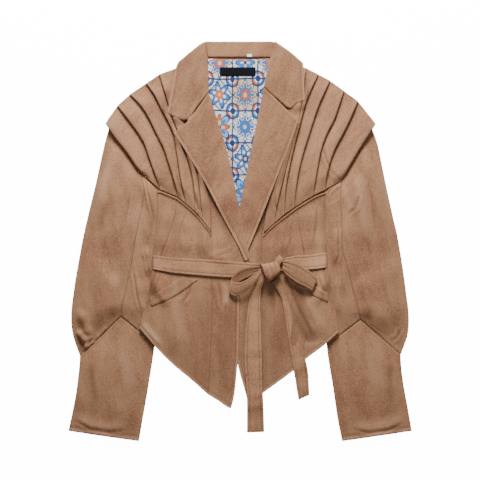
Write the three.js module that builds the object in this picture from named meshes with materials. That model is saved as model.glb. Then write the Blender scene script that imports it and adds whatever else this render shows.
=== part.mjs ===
// Cropped suede jacket laid flat on its back, belt tied in a bow at the front. Millimetres, +Z up.
import * as THREE from "three";

// Driving dimensions
const CLOTH = 1.4; // one ply of suede
const SEAM = 0.25; // each piece stops this far from its seam line
const AIR = 0.5; // space between plies that lie on each other
const LAPEL = 2.0; // two plies pressed together
const COLLAR_PLY = 1.8; // back neck of the collar
const WELT = 1.1;
const WELT_LIFT = 1.2; // space between a pocket welt and the front it lies on
const LINING = 1.0;
const LINING_BED = 1.8; // height the lining starts at, over the back
const FRONT_BED = 2.3; // height the fronts start at, beside the lining
const LINING_STEP = 1.4; // how much the lining lifts what lies on it
const OVERLAP_STEP = 4.4; // how far the left front climbs over the right lapel
const CROSS_STEP = 2.2; // and over the right front below it
const SLEEVE_STEP = 6.2; // how far the hem corners climb over the sleeves
const BELT = 2.0;
const BELT_TURN = 147; // the belt folds under this far from the middle
const BELT_STEP = 2.4; // how far the belt lifts the back where it runs under it
const COLLAR_STEP = 2.6; // how far the folded collar lifts the back neck
const PLEAT_PLY = CLOTH + 0.4; // step from one ply of a pleat to the next

const FABRIC = { color: 0xa8795c, roughness: 0.92, metalness: 0 };
const LININGS = { color: 0xd8d5cf, roughness: 0.8, metalness: 0 };
const LABELS = { color: 0x17181c, roughness: 0.7, metalness: 0 };
const TABS = { color: 0xf0efec, roughness: 0.7, metalness: 0 };

// Outlines, each row [x, y]; the wearer's right front is on the left
const SHOULDER_L = [[-57, 320], [-104, 303], [-141, 287], [-164, 271], [-192, 252], [-213, 231], [-227, 202.4]];
const ARMHOLE_L = [[-227, 202.4], [-209, 176.9], [-191, 151.2], [-173.2, 125.5], [-160, 106.3], [-152, 95]];
const SHOULDER_R = [[57, 320], [104, 303], [141, 287], [164, 271], [192, 252], [214, 231], [229, 202.6]];
const ARMHOLE_R = [[229, 202.6], [212.6, 174.9], [196.3, 147.1], [180, 119.3], [164, 98.3], [157, 89]];
const SIDE_L = [[-145, 88], [-145, 64], [-145.6, 34], [-146.4, 2], [-147, -24], [-147, -51], [-152, -66], [-158, -86],
  [-164, -105], [-170, -129], [-175.5, -152]];
const HEM_L = [[-175.5, -152], [-148, -184], [-118, -214.5], [-84, -243], [-56, -268]];
const HEM_TIP_L = [[-56, -268], [-38, -279], [-22, -290], [-15, -292.5]];
const ROLL_L = [[-54.5, 259], [-40.5, 215.5], [-26.5, 173], [-12.5, 116], [-2, 62.5], [7.5, 16], [16, -31]];
const EDGE_L = [[16, -31], [2.5, -64.5], [-0.5, -103], [-2, -181], [-4, -218.5], [-9, -267.5], [-15, -292.5]];
const SEAM_L = [[-76.5, 317], [-71, 259.5], [-66, 194.5], [-60.5, 142], [-58, 107], [-52, 62.5], [-50, 11],
  [-50, -36.5], [-49, -103], [-50, -169.5], [-53, -230], [-56, -268]];
const PRINCESS_L = [[-110.5, 76.5], [-113, 46], [-123.5, 11], [-135, -19], [-139, -29]];
const YOKE_SEAM_L = [[-138, 88], [-111.5, 77.5], [-91.5, 61.5], [-73.5, 44.5], [-53.5, 19.5], [-50, 11]];
const SIDE_R = [[150, 86], [150, 63.5], [150, 33.5], [149.4, 2], [147, -20], [147, -49], [153, -66], [158.5, -86],
  [164, -105], [169.5, -132], [173, -159]];
const HEM_R = [[173, -159], [148.5, -181], [116, -206], [93.5, -227], [41, -265.5]];
const HEM_TIP_R = [[41, -265.5], [28, -276], [15.5, -285]];
const ROLL_R = [[42.5, 269], [25.5, 186], [10, 108], [0, 59], [-9, 11], [-16, -31]];
const EDGE_R = [[-16, -31], [-20.5, -68], [-17, -120.5], [-10, -173], [-3, -218.5], [7.5, -257], [15.5, -285]];
const SEAM_R = [[77.5, 317], [74, 259.5], [67, 194.5], [58.5, 142], [51.5, 107], [46, 63.5], [41, 28.5], [38, 2],
  [37.5, -36.5], [38, -68], [39, -115], [40, -181.5], [41, -265.5]];
const PRINCESS_R = [[100.5, 60.5], [103, 33.5], [107.5, 5.5], [111, -19], [112, -28]];
const YOKE_SEAM_R = [[150, 86], [130.5, 78], [104, 62.5], [77, 42.5], [55, 25], [41, 10]];

// Fold edges of the six shoulder pleats from neck to sleeve, after the hidden inner edge; shoulder end first
const PLEATS_L = [
  [[-77, 316], [-71, 259.5], [-66, 194.5], [-60.5, 142], [-58, 107], [-52, 62.5], [-50, 13]],
  [[-113.5, 302], [-104.5, 262], [-92, 212], [-80, 159.5], [-72, 109], [-67, 63.5], [-63, 32]],
  [[-140.5, 292], [-125.5, 242], [-116, 212], [-101, 173], [-88, 135], [-80, 96.5], [-77, 48]],
  [[-164, 276], [-149.5, 256], [-138, 233], [-126, 210.5], [-116, 188], [-110, 155], [-103, 108], [-93, 63]],
  [[-192, 257], [-171.5, 235], [-158, 213], [-146, 188.5], [-133.5, 164], [-126, 141.5], [-116, 110], [-107, 75]],
  [[-214, 237], [-194, 211], [-178.5, 190], [-167, 170.5], [-159, 147.5], [-149, 119.5], [-141, 97], [-139, 89]],
  [[-235, 206], [-216.5, 179.5], [-198.5, 157], [-180.5, 130.5], [-168.5, 116]],
];
const PLEATS_R = [
  [[77.5, 316], [74, 259.5], [67, 194.5], [58.5, 142], [51.5, 107], [46, 63.5], [42, 12]],
  [[116, 303], [110, 253], [102, 203.5], [90, 159.5], [76, 107], [65.5, 63.5], [60, 28.5]],
  [[137.5, 292], [122, 258], [114, 236], [106, 206], [95, 164], [86, 124], [80, 88], [78, 44]],
  [[158, 281], [139.5, 240], [130.5, 215], [117, 173], [106, 135], [99, 97], [95, 56]],
  [[182.5, 263], [166.5, 216], [154, 191], [144, 165], [137, 133.5], [128, 78]],
  [[207, 245], [188.5, 203], [168, 164], [158, 138], [152, 112], [149, 88]],
  [[238, 205], [211, 164], [190, 128], [176, 104.5]],
];

// Sleeves from armhole to chevron, each row: outer fold x, y, front seam x, y, inner fold x, y
const SLEEVE_L = [
  [-228, 201, -174, 124, -161, 105],
  [-236, 172, -171, 106, -149.6, 86],
  [-243, 141.5, -167.5, 89.5, -146.6, 70],
  [-255, 88, -170, 63.5, -147, 42],
  [-267.5, 37, -176, 33.5, -147.8, 10],
  [-275.5, 0, -183, -1, -152.3, -17],
  [-283.5, -43, -190, -43, -152.3, -50],
  [-290.5, -86, -198, -84, -156, -75],
  [-295, -129, -204, -108, -151, -112],
  [-292, -164, -206.5, -121, -149, -146],
  [-279.5, -201, -207.5, -131.5, -148.5, -181],
];
const SLEEVE_R = [
  [230, 201, 181, 118, 165, 97],
  [240, 174, 178, 98, 154.5, 80],
  [244.5, 155, 177, 78, 151.3, 62],
  [258, 90, 178, 48, 151.3, 38],
  [269, 40, 179, 19.5, 151.2, 10],
  [276, 10, 181, -20, 152.3, -13],
  [285, -43, 189, -49, 152.3, -48],
  [291, -86, 198, -88, 156.5, -75],
  [296, -129, 206, -118, 153, -112],
  [294, -164, 209, -129, 152, -146],
  [281.5, -199, 211.5, -137, 152, -182],
];
// Cuffs from chevron to hem, in the same columns
const CUFF_L = [
  [-279.5, -201, -207.5, -131.5, -148.5, -181],
  [-281, -222, -214, -170, -151.5, -203],
  [-285.5, -259, -222, -222, -160, -257],
  [-291, -290, -229, -274, -168, -303],
  [-300, -332, -239, -341, -176, -350],
];
const CUFF_R = [
  [281.5, -199, 211.5, -137, 152, -182],
  [283, -222, 216, -175, 155, -207],
  [287, -252, 224, -224, 164, -262],
  [294, -290, 231, -275, 171, -310],
  [301.5, -332, 240, -341, 179, -350],
];

const COLLAR_L = {
  top: [[-60.5, 349], [-69.5, 344], [-86, 331], [-107, 313.5]],
  bottom: [[-54.5, 260], [-74, 236], [-94.5, 212], [-127, 223]],
  left: [[-60.5, 349], [-57.5, 320], [-55, 290], [-54.5, 260]],
  right: [[-107, 313.5], [-112.5, 300], [-119, 264], [-127, 223]],
};
const COLLAR_R = {
  top: [[61.5, 350], [74, 341], [92, 328], [111, 311]],
  bottom: [[42.5, 269.5], [62, 252], [86, 233], [98.5, 239.5], [114, 245.5]],
  left: [[61.5, 350], [54, 322], [47, 293], [42.5, 269.5]],
  right: [[111, 311], [112.5, 278.5], [114, 245.5]],
};
const LAPEL_L = {
  top: [[-54.5, 259], [-71, 236.5], [-87, 214], [-101, 201], [-116, 189.5]],
  bottom: [[16, -31], [9.5, -35]],
  left: ROLL_L,
  right: [[-116, 189.5], [-91.5, 152.5], [-58, 97], [-28.5, 40], [-2, -9], [9.5, -35]],
};
const LAPEL_R = {
  top: [[42.5, 269], [60, 252], [77, 235.5], [102.5, 208.5]],
  bottom: [[-12, -31], [8, -31]],
  left: [[42.5, 269], [25.5, 186], [10, 108], [0, 59], [-7, 11], [-12, -31]],
  right: [[102.5, 208.5], [86, 164], [61.5, 101.5], [37, 39], [16, -12], [8, -31]],
};

// Pocket welts on the front panels
const WELT_L = {
  top: [[-158.5, -99.5], [-130.5, -82], [-101, -62.5]], bottom: [[-155, -114.5], [-113, -96], [-73, -68]],
  left: [[-158.5, -99.5], [-155, -114.5]], right: [[-101, -62.5], [-73, -68]],
};
const WELT_R = {
  top: [[155, -91.5], [129.5, -76], [114.5, -61]], bottom: [[154.5, -107.5], [126.5, -94], [102, -75]],
  left: [[155, -91.5], [154.5, -107.5]], right: [[114.5, -61], [102, -75]],
};
// Belt across the body, each row [x, top edge y, bottom edge y]
const BELT_RUN = {
  left: [[-147, -25, -50], [-113, -29, -56], [-70, -31, -60], [-30, -34, -63], [10, -37, -64], [46, -41, -64]],
  right: [[147, -20, -47], [120, -24, -50], [100, -25, -50], [85, -28, -50], [64, -34, -53]],
};
// Ribbons of the bow, each row: one edge x, y, z, then the other edge x, y, z, at mid thickness
const LOOP_L = [
  [35, -45, 17.5, 37, -57, 16.5],
  [24, -47, 19, 30, -63, 16],
  [6, -52, 21, 18, -78, 15.5],
  [-9, -63, 21.5, 6, -90, 15.5],
  [-17, -78, 20, -6, -97, 15],
  [-19.5, -88, 17, -12, -99, 13.6],
  [-17, -82, 13.6, -8, -95, 11.8],
  [-8, -68, 13.2, 4, -84, 11.2],
  [12, -56, 14, 20, -70, 12.4],
  [25, -51, 14.2, 29, -62, 13.4],
  [34.5, -48, 14.2, 36, -57, 13.4],
];
const LOOP_R = [
  [76.2, -34, 17.5, 74.8, -50, 16.5],
  [84, -35, 19.5, 80, -57, 16],
  [95, -37, 21, 90, -66, 15.5],
  [109, -43, 21.5, 104, -75, 15.5],
  [124, -54, 20.5, 117, -81, 15],
  [134.5, -65, 17.5, 126, -87, 13.6],
  [128, -62, 13.6, 119, -85, 11.6],
  [112, -52, 13.2, 104, -82, 10.8],
  [96, -46, 13.4, 90, -73, 11.2],
  [84, -42, 13.6, 80, -61, 12.4],
  [77, -41, 13.8, 75.5, -53, 13.2],
];
const TAIL_1 = [
  [33, -59, 13.6, 40, -70.5, 13.2],
  [29, -67, 13, 39, -75, 12.6],
  [25, -78, 10.8, 38, -82, 10.4],
  [21, -92, 8, 37, -92, 7.4],
  [15, -111, 5.4, 36.5, -111, 5.4],
  [9, -160, 5.2, 38, -160, 5.2],
  [7.5, -204, 5.2, 39.5, -204, 5.2],
  [10, -243, 5.2, 39.5, -243, 5.2],
  [12, -266, 5.2, 40.5, -264, 5.2],
  [12.5, -287, 5, 41.5, -284, 4.6],
  [12.5, -300, 2.4, 42, -298, 2.2],
  [12.5, -313, 1.2, 42.5, -310, 1.2],
  [12.5, -335, 1.05, 43, -334, 1.05],
];
const TAIL_2 = [
  [54, -73, 9.2, 67, -63, 9.2],
  [60, -78, 8.6, 70, -69, 8.6],
  [66, -86, 7.4, 74, -78, 7.4],
  [72, -98, 6, 79, -91, 6],
  [76, -115, 5.2, 86, -111, 5.4],
  [79.5, -137, 5.2, 97, -141, 5.6],
  [84, -165, 5.2, 108, -172, 6.6],
  [87.5, -185, 5.2, 112.5, -195, 7],
  [91, -205, 5.2, 114.5, -205, 6.8],
  [94, -226, 5, 117, -214, 5.9],
  [97, -242, 2.2, 120, -231, 2.2],
  [99, -256, 1.2, 121, -247, 1.2],
  [103, -278, 1.05, 122, -269, 1.05],
];
// Sections of the knot from its left end to its right: x, centre y, centre z, half width, half height
const KNOT = [
  [38.5, -51, 17, 8, 2.4],
  [42, -52.5, 17.6, 13, 4.4],
  [48, -54, 18, 15.5, 5.2],
  [56, -51.5, 18.4, 15.5, 5.6],
  [64, -46, 18.2, 14.5, 5.2],
  [69, -41.5, 17.8, 12, 4],
  [72, -38, 17.4, 8, 2.4],
];

const clamp = (t) => Math.min(1, Math.max(0, t));
const mix = (a, b, t) => a + (b - a) * t;

// 0 below a, 1 beyond b, eased between
function ease(a, b, x) {
  const t = clamp((x - a) / (b - a));
  return t * t * (3 - 2 * t);
}

// Point at t of 0..1 on a smooth line through the rows of a table, spaced by length
function at(table, t) {
  const reach = [0];
  for (let i = 1; i < table.length; i++) {
    reach.push(reach[i - 1] + Math.hypot(table[i][0] - table[i - 1][0], table[i][1] - table[i - 1][1]));
  }
  const want = clamp(t) * reach[reach.length - 1];
  let i = 1;
  while (i < table.length - 1 && reach[i] < want) i++;
  const s = (want - reach[i - 1]) / (reach[i] - reach[i - 1]);
  const [p0, p1] = [table[Math.max(0, i - 2)], table[i - 1]];
  const [p2, p3] = [table[i], table[Math.min(table.length - 1, i + 1)]];
  return p1.map((_, k) => {
    const [m1, m2] = [(p2[k] - p0[k]) / 2, (p3[k] - p1[k]) / 2];
    const [a, b] = [p1[k], p2[k]];
    return a + s * (m1 + s * (3 * (b - a) - 2 * m1 - m2 + s * (2 * (a - b) + m1 + m2)));
  });
}

// Smooth line of a table as n + 1 points
const sampled = (table, n) => Array.from({ length: n + 1 }, (_, i) => at(table, i / n));

// x of a seam line at height y
function xAt(table, y) {
  let i = 1;
  while (i < table.length - 1 && table[i][1] > y) i++;
  const [a, b] = [table[i - 1], table[i]];
  return mix(a[0], b[0], clamp((a[1] - y) / (a[1] - b[1])));
}

// Closed wall between two grids of points of the same size; the first is the face seen from outside
function wall(outer, inner) {
  const rows = outer.length;
  const cols = outer[0].length;
  const points = [...outer.flat(), ...inner.flat()];
  const index = [];
  const quad = (a, b, c, d) => index.push(a, b, c, a, c, d);
  const o = (r, c) => r * cols + c;
  const i = (r, c) => rows * cols + r * cols + c;
  for (let r = 0; r < rows - 1; r++) {
    for (let c = 0; c < cols - 1; c++) {
      quad(o(r, c), o(r, c + 1), o(r + 1, c + 1), o(r + 1, c));
      quad(i(r, c), i(r + 1, c), i(r + 1, c + 1), i(r, c + 1));
    }
    quad(o(r, 0), o(r + 1, 0), i(r + 1, 0), i(r, 0));
    quad(o(r + 1, cols - 1), o(r, cols - 1), i(r, cols - 1), i(r + 1, cols - 1));
  }
  for (let c = 0; c < cols - 1; c++) {
    quad(o(0, c + 1), o(0, c), i(0, c), i(0, c + 1));
    quad(o(rows - 1, c), o(rows - 1, c + 1), i(rows - 1, c + 1), i(rows - 1, c));
  }
  const geometry = new THREE.BufferGeometry();
  geometry.setAttribute("position", new THREE.Float32BufferAttribute(points.flat(), 3));
  geometry.setIndex(index);
  let volume = 0;
  for (let k = 0; k < index.length; k += 3) {
    const [a, b, c] = [0, 1, 2].map((n) => new THREE.Vector3(...points[index[k + n]]));
    volume += a.dot(b.cross(c));
  }
  if (volume < 0) geometry.setIndex(index.reverse());
  geometry.computeVertexNormals();
  return geometry;
}

// Grid of [x, y] filling four edge lines; rows run from top to bottom, pulled in from the edges named in cut
function fill(piece, rows, cols, cut = {}) {
  const [top, bottom] = [sampled(piece.top, cols), sampled(piece.bottom, cols)];
  const [left, right] = [sampled(piece.left, rows), sampled(piece.right, rows)];
  const grid = [];
  for (let r = 0; r <= rows; r++) {
    const v = r / rows;
    const row = [];
    for (let c = 0; c <= cols; c++) {
      const u = c / cols;
      row.push([0, 1].map((k) => mix(left[r][k], right[r][k], u) + mix(top[c][k], bottom[c][k], v)
        - mix(mix(top[0][k], top[cols][k], u), mix(bottom[0][k], bottom[cols][k], u), v)));
    }
    grid.push(row);
  }
  // Moves an edge of the grid towards its neighbours by the distance asked for
  const pull = (edge, next, d) => {
    const [dx, dy] = [next[0] - edge[0], next[1] - edge[1]];
    const long = Math.hypot(dx, dy);
    return [edge[0] + (dx / long) * d, edge[1] + (dy / long) * d];
  };
  for (let c = 0; c <= cols; c++) {
    if (cut.top) grid[0][c] = pull(grid[0][c], grid[1][c], cut.top);
    if (cut.bottom) grid[rows][c] = pull(grid[rows][c], grid[rows - 1][c], cut.bottom);
  }
  for (const row of grid) {
    if (cut.left) row[0] = pull(row[0], row[1], cut.left);
    if (cut.right) row[cols] = pull(row[cols], row[cols - 1], cut.right);
  }
  return grid;
}

// Flat piece of cloth: a grid of [x, y] with its lower face at height(x, y, u, v)
function sheet(grid, height, thick) {
  const lay = (extra) => grid.map((row, r) => row.map(([x, y], c) => [
    x, y, height(x, y, c / (row.length - 1), r / (grid.length - 1)) + extra]));
  return wall(lay(thick), lay(0));
}

// How far the hem corners, the belt and the collar lift the back
const sleeveLift = (x, y) => SLEEVE_STEP * ease(100, 146, Math.abs(x)) * ease(-8, -73, y);
const beltLift = (x, y) => BELT_STEP * ease(22, -10, y) * ease(-100, -66, y);
const collarLift = (x, y) => COLLAR_STEP * ease(238, 286, y) * ease(122, 72, Math.abs(x));
const backBed = (x, y) => sleeveLift(x, y) + Math.max(beltLift(x, y), collarLift(x, y));

// How far the lining lifts the fronts
function liningLift(x, y) {
  const half = 10 + 64 * clamp((y - 50) / 270);
  return LINING_STEP * ease(half + 24, half + 8, Math.abs(x)) * ease(24, 48, y);
}
const frontBed = (x, y) => FRONT_BED + liningLift(x, y) + backBed(x, y);
const overlap = (x, y) => mix(CROSS_STEP, OVERLAP_STEP, ease(-80, -24, y)) * ease(-62, -24, x) * ease(120, 66, y);
const leftCentreBed = (x, y) => frontBed(x, y) + overlap(x, y);

// Lapels climb from the front centre on to the pleats beyond its seam
const pleatTop = 3 * PLEAT_PLY + AIR;
const lapelBed = (x, y, seam) => frontBed(x, y) + CLOTH + AIR
  + (pleatTop - CLOTH) * ease(-26, -3, (x - xAt(seam, y)) * Math.sign(seam[0][0]));

// Cross-section through all six pleats at one place down the yoke, as rows of [x, y, z, nx, ny, nz]
function pleatSection(lips, depth, bed, rise) {
  const out = [];
  const radius = PLEAT_PLY / 2;
  const put = (p, dir, along, z, turn) => {
    const [c, s] = [Math.cos(turn), Math.sin(turn)];
    out.push([p[0] + dir[0] * along, p[1] + dir[1] * along, z, -s * dir[0], -s * dir[1], c]);
  };
  for (let i = 1; i < lips.length; i++) {
    const [a, b] = [lips[i - 1], lips[i]];
    const width = Math.hypot(b[0] - a[0], b[1] - a[1]);
    const dir = [(b[0] - a[0]) / width, (b[1] - a[1]) / width];
    const low = bed(...a) + CLOTH / 2;
    const lift = 2 * PLEAT_PLY + (i === lips.length - 1 ? rise : 0);
    const high = bed(...b) + CLOTH / 2 + lift;
    const back = Math.min(depth[i], width * 0.42);
    const start = 1.2;
    const end = width - back - 2.2;
    const slope = Math.atan2(high - low, end - start);
    if (i === 1) put(a, dir, 0.6, low, 0);
    else put(a, dir, 1.2, low, slope * 0.5);
    put(a, dir, end, high, slope * 0.5);
    put(a, dir, width - radius - 0.4, high, 0);
    for (const q of [0.33, 0.67, 1]) {
      const w = q * Math.PI;
      put(a, dir, width - radius - 0.4 + radius * Math.sin(w), high - radius + radius * Math.cos(w), -w);
    }
    put(a, dir, width - back, high - PLEAT_PLY, -Math.PI);
    if (i === lips.length - 1) break;
    const floor = high - 2 * PLEAT_PLY;
    for (const q of [0.5, 1]) {
      const w = q * Math.PI;
      put(a, dir, width - back - radius * Math.sin(w), floor + radius + radius * Math.cos(w), w - Math.PI);
    }
  }
  return out;
}

// Yoke of six pleats between the shoulder and its seam
function yoke(pleats, rows, depths) {
  const lines = pleats.map((line) => Array.from({ length: rows + 1 }, (_, i) => at(line, (0.985 * i) / rows)));
  const faces = [[], []];
  for (let r = 0; r <= rows; r++) {
    const v = r / rows;
    const lips = lines.map((line) => line[r]);
    const depth = depths.map((d) => mix(d, Math.min(d, 4), v));
    const bed = frontBed;
    const section = pleatSection(lips, depth, bed, mix(3.2, 2.2, v));
    faces.forEach((face, k) => {
      const d = (k === 0 ? 0.5 : -0.5) * CLOTH;
      face.push(section.map(([x, y, z, nx, ny, nz]) => [x + nx * d, y + ny * d, z + nz * d]));
    });
  }
  return wall(faces[0], faces[1]);
}

// Flattened tube of a sleeve at one place; t of 0..1 runs from the front seam round the fold to the back
function tubePoint(seamPoint, fold, backPoint, t, puff) {
  const [foldAt, turn] = [0.44, 0.12];
  const gap = 0.9;
  const radius = (CLOTH + gap) / 2;
  const flat = (from, u, z, n) => {
    const [dx, dy] = [fold[0] - from[0], fold[1] - from[1]];
    const long = Math.hypot(dx, dy);
    const dir = [dx / long, dy / long];
    const reach = long - radius - CLOTH / 2;
    return { p: [from[0] + dir[0] * reach * u, from[1] + dir[1] * reach * u], dir, z, n };
  };
  const bulge = (u) => puff * (1 - ease(0.35, 1, u));
  if (t <= foldAt) {
    const u = t / foldAt;
    const f = flat(seamPoint, u, CLOTH / 2 + 2 * radius + bulge(u), 1);
    return [...f.p, f.z, 0, 0, 1];
  }
  if (t >= foldAt + turn) {
    const u = (t - foldAt - turn) / (1 - foldAt - turn);
    const f = flat(backPoint, 1 - u, CLOTH / 2, -1);
    return [...f.p, f.z, 0, 0, -1];
  }
  const w = ((t - foldAt) / turn) * Math.PI;
  const f = flat(seamPoint, 1, 0, 1);
  const s = Math.sin(w);
  return [f.p[0] + f.dir[0] * radius * s, f.p[1] + f.dir[1] * radius * s,
    CLOTH / 2 + radius + radius * Math.cos(w), f.dir[0] * s, f.dir[1] * s, Math.cos(w)];
}

const ROUND = [0, 0.14, 0.3, 0.44, 0.48, 0.52, 0.56, 0.78, 1];

// Moves a point towards another by the seam allowance
function toward(p, q, d) {
  const long = Math.hypot(q[0] - p[0], q[1] - p[1]);
  return [p[0] + ((q[0] - p[0]) / long) * d, p[1] + ((q[1] - p[1]) / long) * d];
}

// Half of a sleeve: from its front seam round one fold to the seam underneath
function sleevePiece(table, rows, outside, puff) {
  const faces = [[], []];
  for (let r = 0; r <= rows; r++) {
    const v = r / rows;
    const [ox, oy, sx, sy, ix, iy] = at(table, mix(0.002, 0.997, v));
    const fold = outside ? [ox, oy] : [ix, iy];
    const other = outside ? [ix, iy] : [ox, oy];
    const seam = toward([sx, sy], fold, SEAM);
    const back = toward([sx, sy], fold, SEAM);
    const rise = puff * ease(0, 0.12, v) * ease(1.04, 0.8, v);
    const ring = ROUND.map((t) => tubePoint(seam, fold, back, t, rise));
    faces.forEach((face, k) => {
      const d = (k === 0 ? 0.5 : -0.5) * CLOTH;
      face.push(ring.map(([x, y, z, nx, ny, nz]) => [x + nx * d, y + ny * d, z + nz * d]));
    });
  }
  return wall(faces[0], faces[1]);
}

// Cuff: one strip rolled to a flattened tube, its seam underneath
function cuff(table, rows, puff) {
  const faces = [[], []];
  for (let r = 0; r <= rows; r++) {
    const v = r / rows;
    const [ox, oy, sx, sy, ix, iy] = at(table, mix(0.004, 1, v));
    const rise = puff * ease(-0.05, 0.25, v);
    const back = (fold) => toward([sx, sy], fold, SEAM);
    const one = ROUND.map((t) => tubePoint([sx, sy], [ox, oy], back([ox, oy]), t, rise)).reverse();
    const two = ROUND.map((t) => tubePoint([sx, sy], [ix, iy], back([ix, iy]), t, rise));
    const ring = [...one, ...two.slice(1)];
    faces.forEach((face, k) => {
      const d = (k === 0 ? 0.5 : -0.5) * CLOTH;
      face.push(ring.map(([x, y, z, nx, ny, nz]) => [x + nx * d, y + ny * d, z + nz * d]));
    });
  }
  return wall(faces[0], faces[1]);
}

// Ribbon through a table of edge pairs
function ribbon(table, rows, thick) {
  const line = sampled(table, rows);
  const mid = line.map((p) => [(p[0] + p[3]) / 2, (p[1] + p[4]) / 2, (p[2] + p[5]) / 2]);
  const faces = [[], []];
  line.forEach((p, r) => {
    const before = mid[Math.max(0, r - 1)];
    const after = mid[Math.min(rows, r + 1)];
    const along = new THREE.Vector3(after[0] - before[0], after[1] - before[1], after[2] - before[2]);
    const across = new THREE.Vector3(p[3] - p[0], p[4] - p[1], p[5] - p[2]);
    const n = across.cross(along).normalize();
    const row = [0, 0.5, 1].map((u) => [0, 1, 2].map((k) => mix(p[k], p[k + 3], u)));
    const move = (q, d) => [q[0] + n.x * d, q[1] + n.y * d, q[2] + n.z * d];
    faces[0].push(row.map((q) => move(q, thick / 2)));
    faces[1].push(row.map((q) => move(q, -thick / 2)));
  });
  return wall(faces[0], faces[1]);
}

// Belt round the body: a front run, the turn at the side, the run under the back and the other front run
function beltBand() {
  const path = [];
  const front = (x, y) => frontBed(x, y) + overlap(x, y) * ease(90, 40, x) + CLOTH + 1.1 + BELT / 2;
  const under = BELT / 2;
  const left = sampled(BELT_RUN.left, 14).reverse();
  const right = sampled(BELT_RUN.right, 6);
  const widths = [0, 0.5, 1];
  const line = (x, top, bottom, zOf, nx, nz) => path.push(widths.map((w) => {
    const y = mix(top, bottom, w);
    return [x, y, zOf(x, y), nx, 0, nz];
  }));
  const turn = (side, top, bottom) => {
    const x = side * BELT_TURN;
    const high = front(x, (top + bottom) / 2);
    const radius = (high - under) / 2;
    const steps = [0.2, 0.4, 0.6, 0.8];
    for (const q of side < 0 ? steps : [...steps].reverse()) {
      const w = q * Math.PI;
      line(x + side * radius * Math.sin(w), top, bottom, () => under + radius + radius * Math.cos(w),
        side * Math.sin(w), Math.cos(w));
    }
  };
  left.forEach(([x, top, bottom]) => line(x, top, bottom, front, 0, 1));
  turn(-1, -25, -50);
  for (const q of [0, 0.2, 0.4, 0.6, 0.8, 1]) line(mix(-BELT_TURN - 1, BELT_TURN + 1, q), mix(-25, -20, q),
    mix(-50, -47, q), () => under, 0, -1);
  turn(1, -20, -47);
  right.forEach(([x, top, bottom]) => line(x, top, bottom, front, 0, 1));
  const shift = (d) => path.map((row) => row.map(([x, y, z, nx, ny, nz]) => [x + nx * d, y, z + nz * d]));
  return wall(shift(BELT / 2), shift(-BELT / 2));
}

// Knot: rings of a rounded box from end to end
function knot() {
  const faces = [];
  const sides = 14;
  for (const [x, y, z, wide, high] of KNOT) {
    const ring = [];
    for (let k = 0; k < sides; k++) {
      const w = (k / sides) * 2 * Math.PI;
      const [c, s] = [Math.cos(w), Math.sin(w)];
      const lean = 0.35 * c * wide;
      ring.push([x - lean, y + wide * Math.sign(c) * Math.abs(c) ** 0.75, z + high * Math.sign(s) * Math.abs(s) ** 0.75]);
    }
    faces.push(ring);
  }
  const points = faces.flat();
  const index = [];
  for (let r = 0; r < faces.length - 1; r++) {
    for (let k = 0; k < sides; k++) {
      const [a, b] = [r * sides + k, r * sides + ((k + 1) % sides)];
      index.push(a, b, b + sides, a, b + sides, a + sides);
    }
  }
  for (let k = 1; k < sides - 1; k++) {
    const last = (faces.length - 1) * sides;
    index.push(0, k + 1, k, last, last + k, last + k + 1);
  }
  const geometry = new THREE.BufferGeometry();
  geometry.setAttribute("position", new THREE.Float32BufferAttribute(points.flat(), 3));
  let volume = 0;
  for (let k = 0; k < index.length; k += 3) {
    const [a, b, c] = [0, 1, 2].map((n) => new THREE.Vector3(...points[index[k + n]]));
    volume += a.dot(b.cross(c));
  }
  geometry.setIndex(volume < 0 ? index.reverse() : index);
  geometry.computeVertexNormals();
  return geometry;
}

// Back neck of the collar: the fall under the back, the roll at the top and the stand inside
function collarBack() {
  const thick = COLLAR_PLY;
  const path = [];
  const put = (half, y, z, ny, nz) => path.push([-1, -0.5, 0, 0.5, 1].map((u) => [u * half, y, z, ny, nz]));
  const [low, high] = [thick / 2, thick / 2 + COLLAR_STEP];
  const radius = (high - low) / 2;
  put(64, 286, low, 0, -1);
  put(62, 316, low, 0, -1);
  put(60.5, 347.4, low, 0, -1);
  for (const q of [0.25, 0.5, 0.75]) {
    const w = q * Math.PI;
    put(60.3, 347.4 + radius * Math.sin(w), low + radius - radius * Math.cos(w), Math.sin(w), -Math.cos(w));
  }
  put(60, 347.4, high, 0, 1);
  put(57.5, 334, high, 0, 1);
  put(55.5, 321.6, high, 0, 1);
  const shift = (d) => path.map((row) => row.map(([x, y, z, ny, nz]) => [x, y + ny * d, z + nz * d]));
  return wall(shift(thick / 2), shift(-thick / 2));
}

const jacket = new THREE.Group();
const nodes = {};
function add(name, geometry, look = FABRIC) {
  const mesh = new THREE.Mesh(geometry, new THREE.MeshStandardMaterial(look));
  mesh.name = name;
  jacket.add(mesh);
  nodes[name] = mesh;
}

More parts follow.
